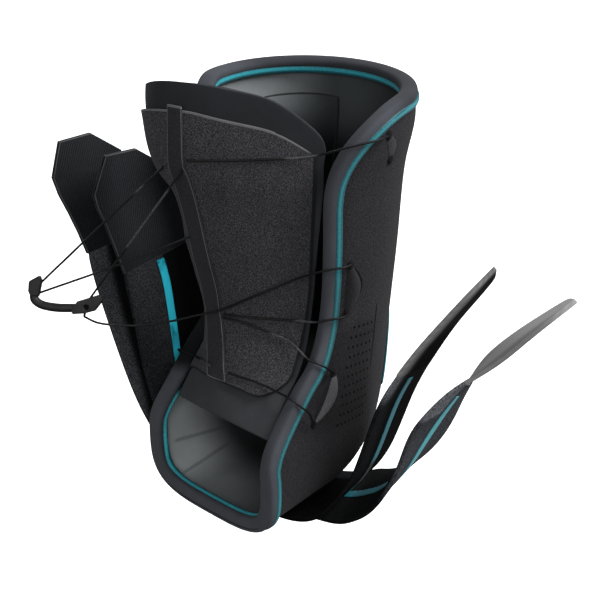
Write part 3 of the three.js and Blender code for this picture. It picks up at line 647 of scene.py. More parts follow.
@dataclass(frozen=True)
class LaceCord:
    """Black braided cord with a slight shine; its zones paint paler stretches as painted glints."""

    name: str
    dark: Colour
    pale: Colour
    zones: tuple[Zone, ...] = ()
    hair: float = 0.45 * MM
    hair_band: Span = (0.4, 0.8)
    plait: float = 0.55 * MM
    patch: float = 16 * MM
    patch_detail: float = 1.0
    patch_band: Span = (0.45, 0.65)
    patch_gloss: float = 0.2
    heights: Span = (0.7, 0.3)
    relief: float = 0.12 * MM
    strength: float = 0.6
    roughness: float = 0.5
    shine: float = 0.2

    def make(self) -> bpy.types.Material:
        """Material of the cord.

        Returns:
            The material.
        """
        sheet = Sheet(self.name)
        hair = sheet.noise(self.hair)
        plait = sheet.cells(self.plait)
        patch = sheet.noise(self.patch, self.patch_detail)
        colour = sheet.tint(sheet.blend(self.dark, self.pale, hair.step(*self.hair_band)), self.zones)
        normal = sheet.bump(pile((1.0 - plait, hair), self.heights), self.relief, self.strength)
        rough = self.roughness - patch.step(*self.patch_band) * self.patch_gloss
        return sheet.coat(colour, rough, normal, self.shine, 0.0)


@dataclass(frozen=True)
class MouldedPlastic:
    """Satin black plastic with a fine moulded grain."""

    name: str
    dark: Colour
    worn: Colour
    grain: float = 0.5 * MM
    grain_detail: float = 3.0
    grain_rough: float = 0.18
    cloud: float = 7 * MM
    cloud_band: Span = (0.45, 0.75)
    relief: float = 0.05 * MM
    strength: float = 0.4
    roughness: float = 0.42
    shine: float = 0.3

    def make(self) -> bpy.types.Material:
        """Material of the plastic.

        Returns:
            The material.
        """
        sheet = Sheet(self.name)
        grain = sheet.noise(self.grain, self.grain_detail)
        cloud = sheet.noise(self.cloud)
        colour = sheet.blend(self.dark, self.worn, cloud.step(*self.cloud_band))
        normal = sheet.bump(grain, self.relief, self.strength)
        rough = self.roughness + grain * self.grain_rough
        return sheet.coat(colour, rough, normal, self.shine, 0.0)


@dataclass(frozen=True)
class PaleFloor:
    """Plain pale studio floor."""

    name: str
    colour: Colour = (0.93, 0.93, 0.93)
    roughness: float = 0.9
    glow: float = 0.5

    def make(self) -> bpy.types.Material:
        """Material of the floor."""
        glow = {"Emission Color": self.colour, "Emission Strength": self.glow}
        return Sheet(self.name).close({}, {"Base Color": self.colour, "Roughness": self.roughness, **glow})


Finish = LoopCloth | TapeCloth | RibTape | BeadCloth | LaceCord | MouldedPlastic | PaleFloor


# Making pieces

class Bench:
    """Blender operators wrapped for one piece at a time."""

    made: dict[Finish, bpy.types.Material] = {}
    weld = 0.02 * MM
    flat_angle = math.radians(70)
    sharp_angle = math.radians(48)
    hold_rounds = 3
    least_height = 1e-9
    cloth_mass = 0.2
    cloth_steps = 12
    cord_sides = 3
    ball_segments = 16
    ball_rings = 10

    @staticmethod
    def only(piece: bpy.types.Object) -> None:
        """Select one piece and nothing else.

        Args:
            piece: piece to select.
        """
        if bpy.context.object and bpy.context.object.mode != "OBJECT":
            bpy.ops.object.mode_set(mode="OBJECT")
        bpy.ops.object.select_all(action="DESELECT")
        piece.select_set(True)
        bpy.context.view_layer.objects.active = piece

    @classmethod
    def copy_node(cls, node: str, name: str) -> bpy.types.Object:
        """Merged copy of a CAD node with its triangles joined into quads.

        Args:
            node: name of the CAD node.
            name: name of the new piece.

        Returns:
            The copy.
        """
        piece = bpy.data.objects.new(name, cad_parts[node].data.copy())
        bpy.context.scene.collection.objects.link(piece)
        piece.data.materials.clear()
        cls.only(piece)
        bpy.ops.object.mode_set(mode="EDIT")
        bpy.ops.mesh.select_all(action="SELECT")
        bpy.ops.mesh.customdata_custom_splitnormals_clear()
        bpy.ops.mesh.remove_doubles(threshold=cls.weld)
        bpy.ops.mesh.tris_convert_to_quads(face_threshold=cls.flat_angle, shape_threshold=cls.flat_angle)
        bpy.ops.object.mode_set(mode="OBJECT")
        return piece

    @classmethod
    def modify(cls, piece: bpy.types.Object, kind: str, **settings: object) -> None:
        """Add a modifier and apply it.

        Args:
            piece: piece to change.
            kind: modifier type.
            settings: values of the modifier.
        """
        cls.only(piece)
        added = piece.modifiers.new(kind.title(), kind)
        for key, value in settings.items():
            setattr(added, key, value)
        bpy.ops.object.modifier_apply(modifier=added.name)

    @classmethod
    def round_off(cls, piece: bpy.types.Object, width: float, steps: int = 2, slot: int = -1) -> None:
        """Bevel the sharp edges of a piece.

        Args:
            piece: piece to change.
            width: width of the bevel.
            steps: segments of the bevel.
            slot: material number of the new faces, or -1 for that of their neighbours.
        """
        while len(piece.data.materials) <= slot:
            piece.data.materials.append(None)
        cls.modify(
            piece, "BEVEL", width=width, segments=steps, limit_method="ANGLE",
            angle_limit=cls.sharp_angle, material=slot, use_clamp_overlap=True,
        )

    @classmethod
    def subdivide(cls, piece: bpy.types.Object, levels: int, hold: float = 1.0) -> None:
        """Subdivide a piece into a smooth surface that still runs through its own points.

        Args:
            piece: piece to change.
            levels: times that each face is split.
            hold: how closely the surface keeps to the points, from 0 to 1.
        """
        kept = [vertex.co.copy() for vertex in piece.data.vertices]
        for _ in range(cls.hold_rounds if hold else 0):
            trial = bpy.data.objects.new("trial", piece.data.copy())
            bpy.context.scene.collection.objects.link(trial)
            cls.modify(trial, "SUBSURF", levels=1, render_levels=1)
            for vertex, target, reached in zip(piece.data.vertices, kept, trial.data.vertices):
                vertex.co += (target - reached.co) * hold
            bpy.data.objects.remove(trial)
        cls.modify(piece, "SUBSURF", levels=levels, render_levels=levels)
        bpy.ops.object.shade_smooth()

    @classmethod
    def fatten(cls, piece: bpy.types.Object, amount: float) -> None:
        """Move every point of a piece along its normal.

        Args:
            piece: piece to change.
            amount: how far out the points move.
        """
        cls.only(piece)
        bpy.ops.object.mode_set(mode="EDIT")
        bpy.ops.mesh.select_all(action="SELECT")
        bpy.ops.transform.shrink_fatten(value=amount)
        bpy.ops.object.mode_set(mode="OBJECT")

    @classmethod
    def settle(cls, piece: bpy.types.Object, ground: BVHTree, keep: float, most: float = 1.0) -> None:
        """Let a piece sink towards the cloth that carries it.

        Args:
            piece: piece to move.
            ground: search tree of the cloth.
            keep: share of its height that it keeps.
            most: greatest height that is left.
        """
        for vertex in piece.data.vertices:
            place, _, _, height = ground.find_nearest(vertex.co)
            vertex.co = place.lerp(vertex.co, min(keep, most / max(height, cls.least_height)))

    @staticmethod
    def crown(piece: bpy.types.Object, ground: BVHTree, low: float, high: float) -> None:
        """Mark how squarely each point of a bead faces away from the cloth below, for the painted
        highlight along its crown.

        Args:
            piece: bead to mark.
            ground: search tree of the cloth.
            low: facing, as a cosine, where the mark is 0.
            high: facing where the mark is 1.
        """
        mark = piece.data.attributes.new("crown", "FLOAT", "POINT")
        for spot, vertex in zip(mark.data, piece.data.vertices):
            facing = vertex.normal.dot(ground.find_nearest(vertex.co)[1])
            spot.value = min(max((facing - low) / (high - low), 0.0), 1.0)

    @classmethod
    def bead(cls, name: str, path: list[Vector], radius: float) -> bpy.types.Object:
        """Round thread along a path, as a mesh.

        Args:
            name: name of the piece.
            path: points on its middle.
            radius: half of its thickness.

        Returns:
            The thread.
        """
        piece = cls.tube(name, path, radius)
        cls.only(piece)
        bpy.ops.object.convert(target="MESH")
        bpy.ops.object.shade_smooth()
        return piece

    @classmethod
    def ball(cls, name: str, place: Vector, radii: Triple) -> bpy.types.Object:
        """Round lump with its own radius along each axis.

        Args:
            name: name of the piece.
            place: its middle.
            radii: its three radii.

        Returns:
            The lump.
        """
        bpy.ops.object.select_all(action="DESELECT")
        bpy.ops.mesh.primitive_uv_sphere_add(
            segments=cls.ball_segments, ring_count=cls.ball_rings, radius=1.0, location=place,
        )
        piece = bpy.context.object
        piece.name = name
        piece.scale = radii
        bpy.ops.object.transform_apply(location=True, rotation=True, scale=True)
        bpy.ops.object.shade_smooth()
        return piece

    @classmethod
    def puff(cls, piece: bpy.types.Object, pressure: float, most: float) -> None:
        """Blow a padded piece up a little with a cloth simulation.

        Args:
            piece: closed piece to puff.
            pressure: pressure inside it.
            most: furthest that a point may move.
        """
        cls.only(piece)
        start = [vertex.co.copy() for vertex in piece.data.vertices]
        cloth = piece.modifiers.new("Cloth", "CLOTH")
        cloth.settings.use_pressure = True
        cloth.settings.uniform_pressure_force = pressure
        cloth.settings.effector_weights.gravity = 0.0
        cloth.settings.mass = cls.cloth_mass
        cloth.collision_settings.use_collision = False
        cloth.point_cache.frame_start = 1
        cloth.point_cache.frame_end = cls.cloth_steps
        for step in range(cls.cloth_steps):
            bpy.context.scene.frame_set(step + 1)
        bpy.ops.object.modifier_apply(modifier=cloth.name)
        bpy.context.scene.frame_set(1)
        for vertex, before in zip(piece.data.vertices, start):
            moved = vertex.co - before
            if moved.length > most:
                vertex.co = before + moved.normalized() * most

    @classmethod
    def dress(cls, piece: bpy.types.Object, slot: Slot, *finishes: Finish) -> bpy.types.Object:
        """Give a piece its finishes and let it ride on the object.

        Args:
            piece: finished piece.
            slot: material slot of the record; not used.
            finishes: finishes in the order of the piece's material numbers.

        Returns:
            The piece.
        """
        for number, finish in enumerate(finishes):
            if finish not in cls.made:
                cls.made[finish] = finish.make()
            if number < len(piece.data.materials):
                piece.data.materials[number] = cls.made[finish]
            else:
                piece.data.materials.append(cls.made[finish])
        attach(piece, "root")
        LOG.info("%s", piece.name)
        return piece

    @classmethod
    def tube(cls, name: str, points: list[Vector], radius: float) -> bpy.types.Object:
        """Round cord through points, as one open spline.

        Args:
            name: name of the piece.
            points: points on its middle.
            radius: half of its thickness.

        Returns:
            The cord.
        """
        data = bpy.data.curves.new(name, "CURVE")
        data.dimensions = "3D"
        data.bevel_depth = radius
        data.bevel_resolution = cls.cord_sides
        data.use_fill_caps = True
        spline = data.splines.new("POLY")
        spline.points.add(len(points) - 1)
        for target, point in zip(spline.points, points):
            target.co = (*point, 1.0)
        piece = bpy.data.objects.new(name, data)
        bpy.context.scene.collection.objects.link(piece)
        return piece

    @staticmethod
    def ground(piece: bpy.types.Object) -> BVHTree:
        """Search tree of a piece's faces."""
        mesh = piece.data
        return BVHTree.FromPolygons([v.co for v in mesh.vertices], [p.vertices for p in mesh.polygons])


def smooth_path(points: tuple[Triple, ...], steps: int) -> list[Vector]:
    """Points of a smooth curve through a few points given in millimetres.

    Args:
        points: points on the curve.
        steps: steps between two of them.

    Returns:
        Points of the curve in metres.
    """
    given = [Vector(point) * MM for point in points]
    row = [given[0] * 2 - given[1], *given, given[-1] * 2 - given[-2]]
    path = []
    for index in range(len(given) - 1):
        four = row[index:index + 4]
        knots = [0.0]
        for first, second in zip(four, four[1:]):
            knots.append(knots[-1] + max((second - first).length, SHORTEST) ** 0.5)
        for step in range(steps):
            at = knots[1] + (knots[2] - knots[1]) * step / steps
            level = list(four)
            for start, reach in ((0, 1), (0, 2), (1, 1)):
                level = [
                    low.lerp(high, (at - knots[start + i]) / (knots[start + i + reach] - knots[start + i]))
                    for i, (low, high) in enumerate(zip(level, level[1:]))
                ]
            path.append(level[0])
    return [*path, given[-1]]


def run_length(path: list[Vector]) -> float:
    """Length of a line of points."""
    return sum((second - first).length for first, second in zip(path, path[1:]))


# The cloths of the splint

# Its zone is painted shade: darker low on the right side, around the perforations.
SHELL_CLOTH = LoopCloth(
    "shell_cloth", (0.014, 0.0138, 0.0157), (0.066, 0.0648, 0.071), fleck=0.6 * MM, amount=0.42,
    holes=Perforation(),
    zones=(Zone((0.6, 0.6, 0.6), (20.0, -34.0, -40.0), (None, 5.0, 8.0), 14.0),),
)
# Its zones are painted light and painted shade: the lower guides painted paler, the upper guides darker.
GUIDE_CLOTH = LoopCloth(
    "guide_cloth", (0.034, 0.034, 0.037), (0.075, 0.075, 0.08), fleck=0.6 * MM, amount=0.4,
    zones=(
        Zone((1.8, 1.8, 1.8), (None, None, -36.0), (None, None, -8.0), 6.0),
        Zone((0.55, 0.55, 0.55), (None, None, 5.0), (None, None, 60.0), 6.0),
    ),
)
COVER_CLOTH = LoopCloth(
    "cover_cloth", (0.018, 0.0178, 0.0205), (0.14, 0.138, 0.152), fleck=0.55 * MM, amount=0.5,
)
# Cut edge of the cover: pale along its top as a painted highlight, painted dark below z 92 mm.
COVER_EDGE_HIGHLIGHT = TapeCloth(
    "cover_edge_highlight", (0.1, 0.1, 0.105), (0.16, 0.16, 0.165),
    zones=(Zone((0.1, 0.1, 0.1), (None, None, None), (None, None, 92.0), 3.0),),
)
# Its zone is painted shade: darker towards the top, above z 70 mm.
PAD_CLOTH = TapeCloth(
    "pad_cloth", (0.034, 0.0365, 0.04), (0.046, 0.049, 0.054),
    zones=(Zone((0.55, 0.56, 0.58), (None, None, 70.0), (None, None, None), 30.0),),
)
# Its zones are painted shade: near black along the left front edge beside the flap, darker along the rear
# of the rim.
BINDING_CLOTH = TapeCloth(
    "binding_cloth", (0.05, 0.054, 0.063), (0.067, 0.072, 0.083),
    zones=(
        Zone((0.12, 0.12, 0.12), (None, None, -24.0), (-20.0, None, 80.0), 7.0),
        Zone((0.6, 0.6, 0.6), (None, 10.0, 80.0), (None, None, None), 20.0),
    ),
)
# Painted shade inside the sleeve: darker deep inside, near the rim except on the left wall, and darker
# still on the right near the rim.
DEEP_INSIDE_SHADE = Zone((0.04, 0.04, 0.042), (None, None, -38.0), (None, None, 76.0), 28.0)
RIM_SHADE = Zone((0.26, 0.27, 0.28), (-30.0, None, 60.0), (None, None, None), 26.0)
RIM_RIGHT_SHADE = Zone((0.4, 0.41, 0.42), (7.0, None, 60.0), (None, None, None), 40.0)
# Painted light and shade in the lining: near black in the foot behind the tongue pad, the left wall of the
# foot painted lighter, its right side darker; the folds are darkened as painted shade along their creases.
LINING_CLOTH = TapeCloth(
    "lining_cloth", (0.19, 0.204, 0.211), (0.235, 0.252, 0.259),
    zones=(
        DEEP_INSIDE_SHADE,
        RIM_SHADE,
        RIM_RIGHT_SHADE,
        Zone((0.05, 0.05, 0.052), (None, -31.0, None), (None, None, -34.0), 34.0),
        Zone((1.9, 1.9, 1.88), (None, None, None), (-22.0, None, -26.0), 18.0),
        Zone((0.22, 0.225, 0.23), (6.0, None, None), (None, None, -30.0), 56.0),
    ),
    folds=(
        Fold((-35.0, -52.0, -63.0), (-32.0, -18.0, -68.0)),
        Fold((-26.0, -56.0, -76.4), (-27.4, -16.0, -73.0)),
    ),
)
# Same cloth as the lining, painted darker as painted shade, with the inside shade zones.
PANEL_CLOTH = TapeCloth(
    "panel_cloth", (0.115, 0.124, 0.13), (0.145, 0.156, 0.162), zones=(DEEP_INSIDE_SHADE, RIM_SHADE, RIM_RIGHT_SHADE),
)
PANEL_SEAM = TapeCloth("panel_seam", (0.02, 0.021, 0.022), (0.03, 0.031, 0.032))
# Near black: the lace knot's own colour, and painted shade in the end holes of the guides.
KNOT_AND_MOUTH_SHADE = TapeCloth("knot_and_mouth_shade", (0.006, 0.006, 0.0065), (0.01, 0.01, 0.011))
STRIP_CLOTH = LoopCloth(
    "strip_cloth", (0.02, 0.0198, 0.0225), (0.06, 0.059, 0.066), fleck=0.55 * MM, amount=0.35,
)
STRIP_EDGE = TapeCloth("strip_edge", (0.09, 0.09, 0.097), (0.14, 0.14, 0.148))
# Its zones are painted light and shade: black right of the left front stripe as painted shadow of the
# sleeve, the rear of the right front strap dark, its front edge painted pale where lit, and the lower
# parts and underside darker.
STRAP_CLOTH = LoopCloth(
    "strap_cloth", (0.01, 0.0106, 0.012), (0.1, 0.105, 0.115), fleck=0.7 * MM, amount=0.32, sheen=0.0,
    zones=(
        Zone((0.12, 0.12, 0.12), (None, -38.0, -70.0), (-40.0, None, None), 3.0),
        Zone((0.13, 0.13, 0.13), (20.0, -7.0, None), (None, None, None), 9.0),
        Zone((7.0, 7.0, 6.9), (50.0, None, -19.0), (None, -9.5, None), 10.0),
        Zone((0.5, 0.5, 0.5), (20.0, None, None), (None, None, -20.0), 20.0),
        Zone((0.35, 0.35, 0.35), (-30.0, None, None), (70.0, None, -66.0), 14.0),
    ),
)
# The same strap cloth with other painted light and shade: the right rear strap painted paler above and
# along its front edge and darker below, the left rear strap painted paler on its front part and black
# beside the front strap as painted shadow.
STRAP_LIT_AND_SHADED = replace(
    STRAP_CLOTH, name="strap_lit_and_shaded",
    zones=(
        Zone((2.4, 2.4, 2.45), (58.0, None, -62.0), (None, None, None), 14.0),
        Zone((3.4, 3.4, 3.3), (58.0, None, -16.0), (None, -9.0, None), 4.0),
        Zone((0.3, 0.3, 0.3), (-30.0, None, None), (76.0, None, -60.0), 14.0),
        Zone((2.8, 2.8, 2.8), (None, None, None), (-40.0, -57.5, None), 5.0),
        Zone((0.2, 0.2, 0.2), (None, -57.5, None), (-40.0, None, None), 5.0),
    ),
)
STRAP_EDGE = TapeCloth("strap_edge", (0.045, 0.046, 0.049), (0.075, 0.076, 0.08))
TAB_LEFT = RibTape("tab_left", (0.0006, 0.0008, 0.0012), (0.023, 0.0256, 0.03))
# Right front tab: pale along its front as painted light, its rear painted dark as painted shade.
TAB_FRONT = RibTape(
    "tab_front", (0.2, 0.2, 0.2), (0.31, 0.31, 0.31), sheen=0.0, shine=0.02,
    zones=(
        Zone((0.06, 0.06, 0.061), (None, -5.0, None), (None, None, 54.0), 12.0),
        Zone((0.16, 0.16, 0.165), (None, -8.5, None), (None, None, 14.0), 12.0),
    ),
)
# Right rear tab: its pale grey is a painted highlight on the upturned tip, darker towards the front.
TAB_REAR = RibTape(
    "tab_rear", (0.44, 0.44, 0.44), (0.54, 0.54, 0.54),
    zones=(Zone((0.55, 0.55, 0.55), (None, None, None), (None, -9.0, None), 10.0),),
)
# Outer piping: crowned, so painted palest along its crown as a painted highlight.
PIPING_BEAD = BeadCloth(
    "piping_bead", (0.003, 0.04, 0.05), (0.045, 0.28, 0.33), crowned=True,
    zones=(Zone((0.85, 0.73, 0.71), (None, None, -55.0), (None, None, 30.0), 24.0),),
)
# Inner piping: crowned like the outer piping and painted brighter than it, near black between z -35 and 90
# mm as painted shade under the flap, paler low on the left at the foot as painted light.
INNER_BEAD = BeadCloth(
    "inner_bead", (0.004, 0.07, 0.085), (0.05, 0.46, 0.56), crowned=True,
    zones=(
        Zone((0.06, 0.05, 0.05), (None, None, -35.0), (None, None, 90.0), 4.0),
        Zone((2.0, 1.6, 1.55), (None, None, -66.0), (-15.0, None, -33.0), 8.0),
    ),
)
HEEL_BEAD = BeadCloth("heel_bead", (0.01, 0.1, 0.12), (0.02, 0.22, 0.26))
# Its zones are painted shade and light: darker between x 20 and 68 mm, paler and greyer beyond x 68 mm,
# near black low down between x 40 and 50.5 mm.
STRIPE_TAPE = BeadCloth(
    "stripe_tape", (0.016, 0.42, 0.56), (0.03, 0.6, 0.78),
    zones=(
        Zone((0.34, 0.28, 0.28), (20.0, None, None), (68.0, None, None), 4.0),
        Zone((3.5, 0.85, 0.75), (68.0, None, None), (None, None, None), 4.0),
        Zone((0.05, 0.05, 0.05), (40.0, None, -74.3), (50.5, None, -63.0), 3.0),
    ),
)
# Gain of the painted glints: whitish stretches painted on the laces.
LACE_SHINE = (15.0, 15.0, 15.3)
LACE_BRAID = LaceCord(
    "lace_braid", (0.002, 0.002, 0.0022), (0.009, 0.009, 0.0095),
    zones=(
        Zone(LACE_SHINE, (24.0, -36.0, 89.0), (34.0, -25.5, 93.0), 3.0),
        Zone(LACE_SHINE, (24.0, -31.0, 12.0), (34.0, -26.5, 16.0), 3.0),
        Zone(LACE_SHINE, (16.0, -39.0, -3.0), (33.0, -30.5, 9.0), 3.0),
        Zone(LACE_SHINE, (-17.0, -55.0, -15.0), (-6.0, -48.5, -10.0), 2.0),
        Zone(LACE_SHINE, (-26.0, -84.0, 51.0), (-10.0, -68.0, 77.0), 2.0),
    ),
)
BLACK_PLASTIC = MouldedPlastic("black_plastic", (0.005, 0.005, 0.0052), (0.011, 0.011, 0.0115))

# Hole of the right clip, in millimetres, where the loose lace ends in its knot
CLIP_HOLE: Triple = (-37.84, -96.69, 23.14)


@dataclass
class Guide:
    """Raised lace tunnel between two holes on the shell, sizes in millimetres."""

    node: str
    start: Span
    end: Span
    bulge: float
    half: float
    hand: int = 1
    height: float = 0.6
    sewn: bool = True
    margin: float = 0.06
    rim: float = 0.8

    def outline(self, edge: int, beyond: float, count: int) -> list[Span]:
        """Points beside one edge of the tunnel, as Y and Z.

        Args:
            edge: 1 for the rear edge and -1 for the front edge.
            beyond: distance outside the edge.
            count: how many points.

        Returns:
            The points in metres.
        """
        points = []
        for step in range(count):
            along = self.margin + (1 - 2 * self.margin) * step / (count - 1)
            swell = math.sin(math.pi * along)
            y = self.start[0] + (self.end[0] - self.start[0]) * along
            z = self.start[1] + (self.end[1] - self.start[1]) * along
            y += self.bulge * swell + edge * (self.rim + self.half * swell + beyond)
            points.append((y * MM, z * MM))
        return points


@dataclass
class Sleeve:
    """Padded sleeve with its lining, edge binding, beads and lace guides."""

    bead_growth: float = 1.3 * MM
    bead_height: float = 0.6
    heel_height: float = 0.32
    # Facing range of the painted highlight along a bead's crown.
    crown: Span = (0.92, 0.985)
    inner_growth: float = 1.5 * MM
    heel_growth: float = 0.6 * MM
    edge_hold: float = 0.3
    edge_growth: float = 0.35 * MM
    pad_edge: float = 0.8 * MM
    pad_pressure: float = 2.0
    pad_puff: float = 0.8 * MM
    outside: float = 0.2
    # Radii of the black lumps of painted shade at the ends of a guide.
    mouth_shade: Triple = (0.9 * MM, 1.9 * MM, 2.3 * MM)
    rim_thread: float = 0.28 * MM
    thread_gap: float = 0.2
    thread_lift: float = 0.15 * MM
    thread_points: int = 11
    threads: tuple[tuple[str, int, Finish], ...] = (("rear", 1, GUIDE_CLOTH), ("front", -1, SHELL_CLOTH))
    guides: tuple[Guide, ...] = (
        Guide("lace_guide_top_right", (1.5, 97.8), (5.0, 86.0), 1.0, 2.2, height=0.15, sewn=False),
        Guide("lace_guide_upper_right", (-12.5, 40.0), (-12.5, 17.0), 3.0, 3.0),
        Guide("lace_guide_lower_right", (-20.5, -11.5), (-33.0, -32.5), 3.0, 2.8),
        Guide("lace_guide_upper_left", (-12.5, 40.0), (-12.5, 17.0), 3.0, 3.0, -1),
        Guide("lace_guide_lower_left", (-20.5, -11.5), (-33.0, -32.5), 3.0, 2.8, -1),
    )

    def build(self) -> None:
        """Build and dress every piece of the sleeve."""
        shell = Bench.ground(self.wall("sleeve_shell", Slot.SHELL, SHELL_CLOTH, hold=1.0))
        lining = Bench.ground(self.wall("sleeve_lining", Slot.LINING, LINING_CLOTH, hold=0.0))
        self.binding()
        self.bead("outer_piping", shell, self.bead_height, self.bead_growth, PIPING_BEAD)
        self.bead("inner_piping", lining, self.bead_height, self.inner_growth, INNER_BEAD)
        self.bead("heel_piping", shell, self.heel_height, self.heel_growth, HEEL_BEAD)
        self.back_pad()
        for guide in self.guides:
            self.tunnel(guide, shell)

    def wall(self, node: str, slot: Slot, finish: Finish, hold: float) -> bpy.types.Object:
        """Smooth cloth wall over a CAD wall.

        Args:
            node: CAD node to replace.
            slot: material slot of the record.
            finish: cloth of the wall.
            hold: how closely the cloth keeps to the CAD wall, from 0 to 1.

        Returns:
            The wall.
        """
        piece = Bench.copy_node(node, node + "_cloth")
        Bench.subdivide(piece, levels=2, hold=hold)
        Bench.dress(piece, slot, finish)
        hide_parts(node)
        return piece

    def binding(self) -> None:
        """Smooth tape folded over the whole cut edge."""
        piece = Bench.copy_node("edge_binding", "edge_binding_tape")
        Bench.subdivide(piece, levels=2, hold=self.edge_hold)
        Bench.fatten(piece, self.edge_growth)
        Bench.dress(piece, Slot.BINDING, BINDING_CLOTH)
        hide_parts("edge_binding")

    def bead(self, node: str, ground: BVHTree, keep: float, growth: float, finish: Finish) -> None:
        """Coloured bead sewn along the cloth.

        Args:
            node: CAD node to replace.
            ground: search tree of the cloth below.
            keep: share of its height that it keeps.
            growth: how much thicker it is than the CAD bead.
            finish: cloth of the bead.
        """
        piece = Bench.copy_node(node, node + "_bead")
        Bench.subdivide(piece, levels=2)
        Bench.fatten(piece, growth)
        Bench.crown(piece, ground, *self.crown)
        Bench.settle(piece, ground, keep)
        Bench.dress(piece, Slot.PIPING, finish)
        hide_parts(node)

    def back_pad(self) -> None:
        """Padded panel inside the back, sewn down along its edge."""
        piece = Bench.copy_node("back_pad", "back_pad_panel")
        Bench.round_off(piece, self.pad_edge, slot=1)
        Bench.subdivide(piece, levels=1)
        Bench.puff(piece, self.pad_pressure, self.pad_puff)
        Bench.subdivide(piece, levels=1)
        Bench.dress(piece, Slot.LINING, PANEL_CLOTH, PANEL_SEAM)
        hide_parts("back_pad")

    def tunnel(self, guide: Guide, ground: BVHTree) -> None:
        """Lace guide with a black lump of painted shade at each of its two ends, and the threads along its
        edges.

        Args:
            guide: guide to build.
            ground: search tree of the shell.
        """
        piece = Bench.copy_node(guide.node, guide.node + "_tunnel")
        Bench.subdivide(piece, levels=2, hold=0.0)
        Bench.settle(piece, ground, guide.height)
        Bench.dress(piece, Slot.SHELL, GUIDE_CLOTH)
        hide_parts(guide.node)
        inward = Vector((-guide.hand, 0.0, 0.0))
        start = guide.hand * self.outside
        for side, edge, finish in self.threads if guide.sewn else ():
            path = []
            for y, z in guide.outline(edge, self.thread_gap, self.thread_points):
                place, normal, _, _ = ground.ray_cast(Vector((start, y, z)), inward)
                path.append(place + normal * self.thread_lift)
            thread = Bench.bead(f"{guide.node}_{side}_thread", path, self.rim_thread)
            Bench.dress(thread, Slot.SHELL, finish)
        # At each end of the guide a black lump is painted shade in the hole.
        for end, (y, z) in (("top", guide.start), ("low", guide.end)):
            place, _, _, _ = ground.ray_cast(Vector((start, y * MM, z * MM)), inward)
            mouth_shade = Bench.ball(f"{guide.node}_{end}_mouth", place, self.mouth_shade)
            Bench.dress(mouth_shade, Slot.SHELL, KNOT_AND_MOUTH_SHADE)


@dataclass
class Flap:
    """Front flap: padded tongue, loop cloth cover and the strip that carries the laces."""

    pad_edge: float = 0.9 * MM
    pad_pressure: float = 2.0
    pad_puff: float = 1.2 * MM
    layers: tuple[tuple[str, str, float, Slot, Finish, Finish], ...] = (
        ("tongue_cover", "cloth", 0.45 * MM, Slot.COVER, COVER_CLOTH, COVER_EDGE_HIGHLIGHT),
        ("tongue_strip", "webbing", 0.35 * MM, Slot.STRIP, STRIP_CLOTH, STRIP_EDGE),
    )

    def build(self) -> None:
        """Build and dress every piece of the flap."""
        pad = Bench.copy_node("tongue_pad", "tongue_pad_cloth")
        Bench.round_off(pad, self.pad_edge)
        Bench.subdivide(pad, levels=1)
        Bench.puff(pad, self.pad_pressure, self.pad_puff)
        Bench.subdivide(pad, levels=1)
        Bench.dress(pad, Slot.PAD, PAD_CLOTH)
        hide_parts("tongue_pad")
        for node, kind, edge, slot, cloth, rim in self.layers:
            piece = Bench.copy_node(node, f"{node}_{kind}")
            Bench.round_off(piece, edge, slot=1)
            Bench.subdivide(piece, levels=2)
            Bench.dress(piece, slot, cloth, rim)
            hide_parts(node)


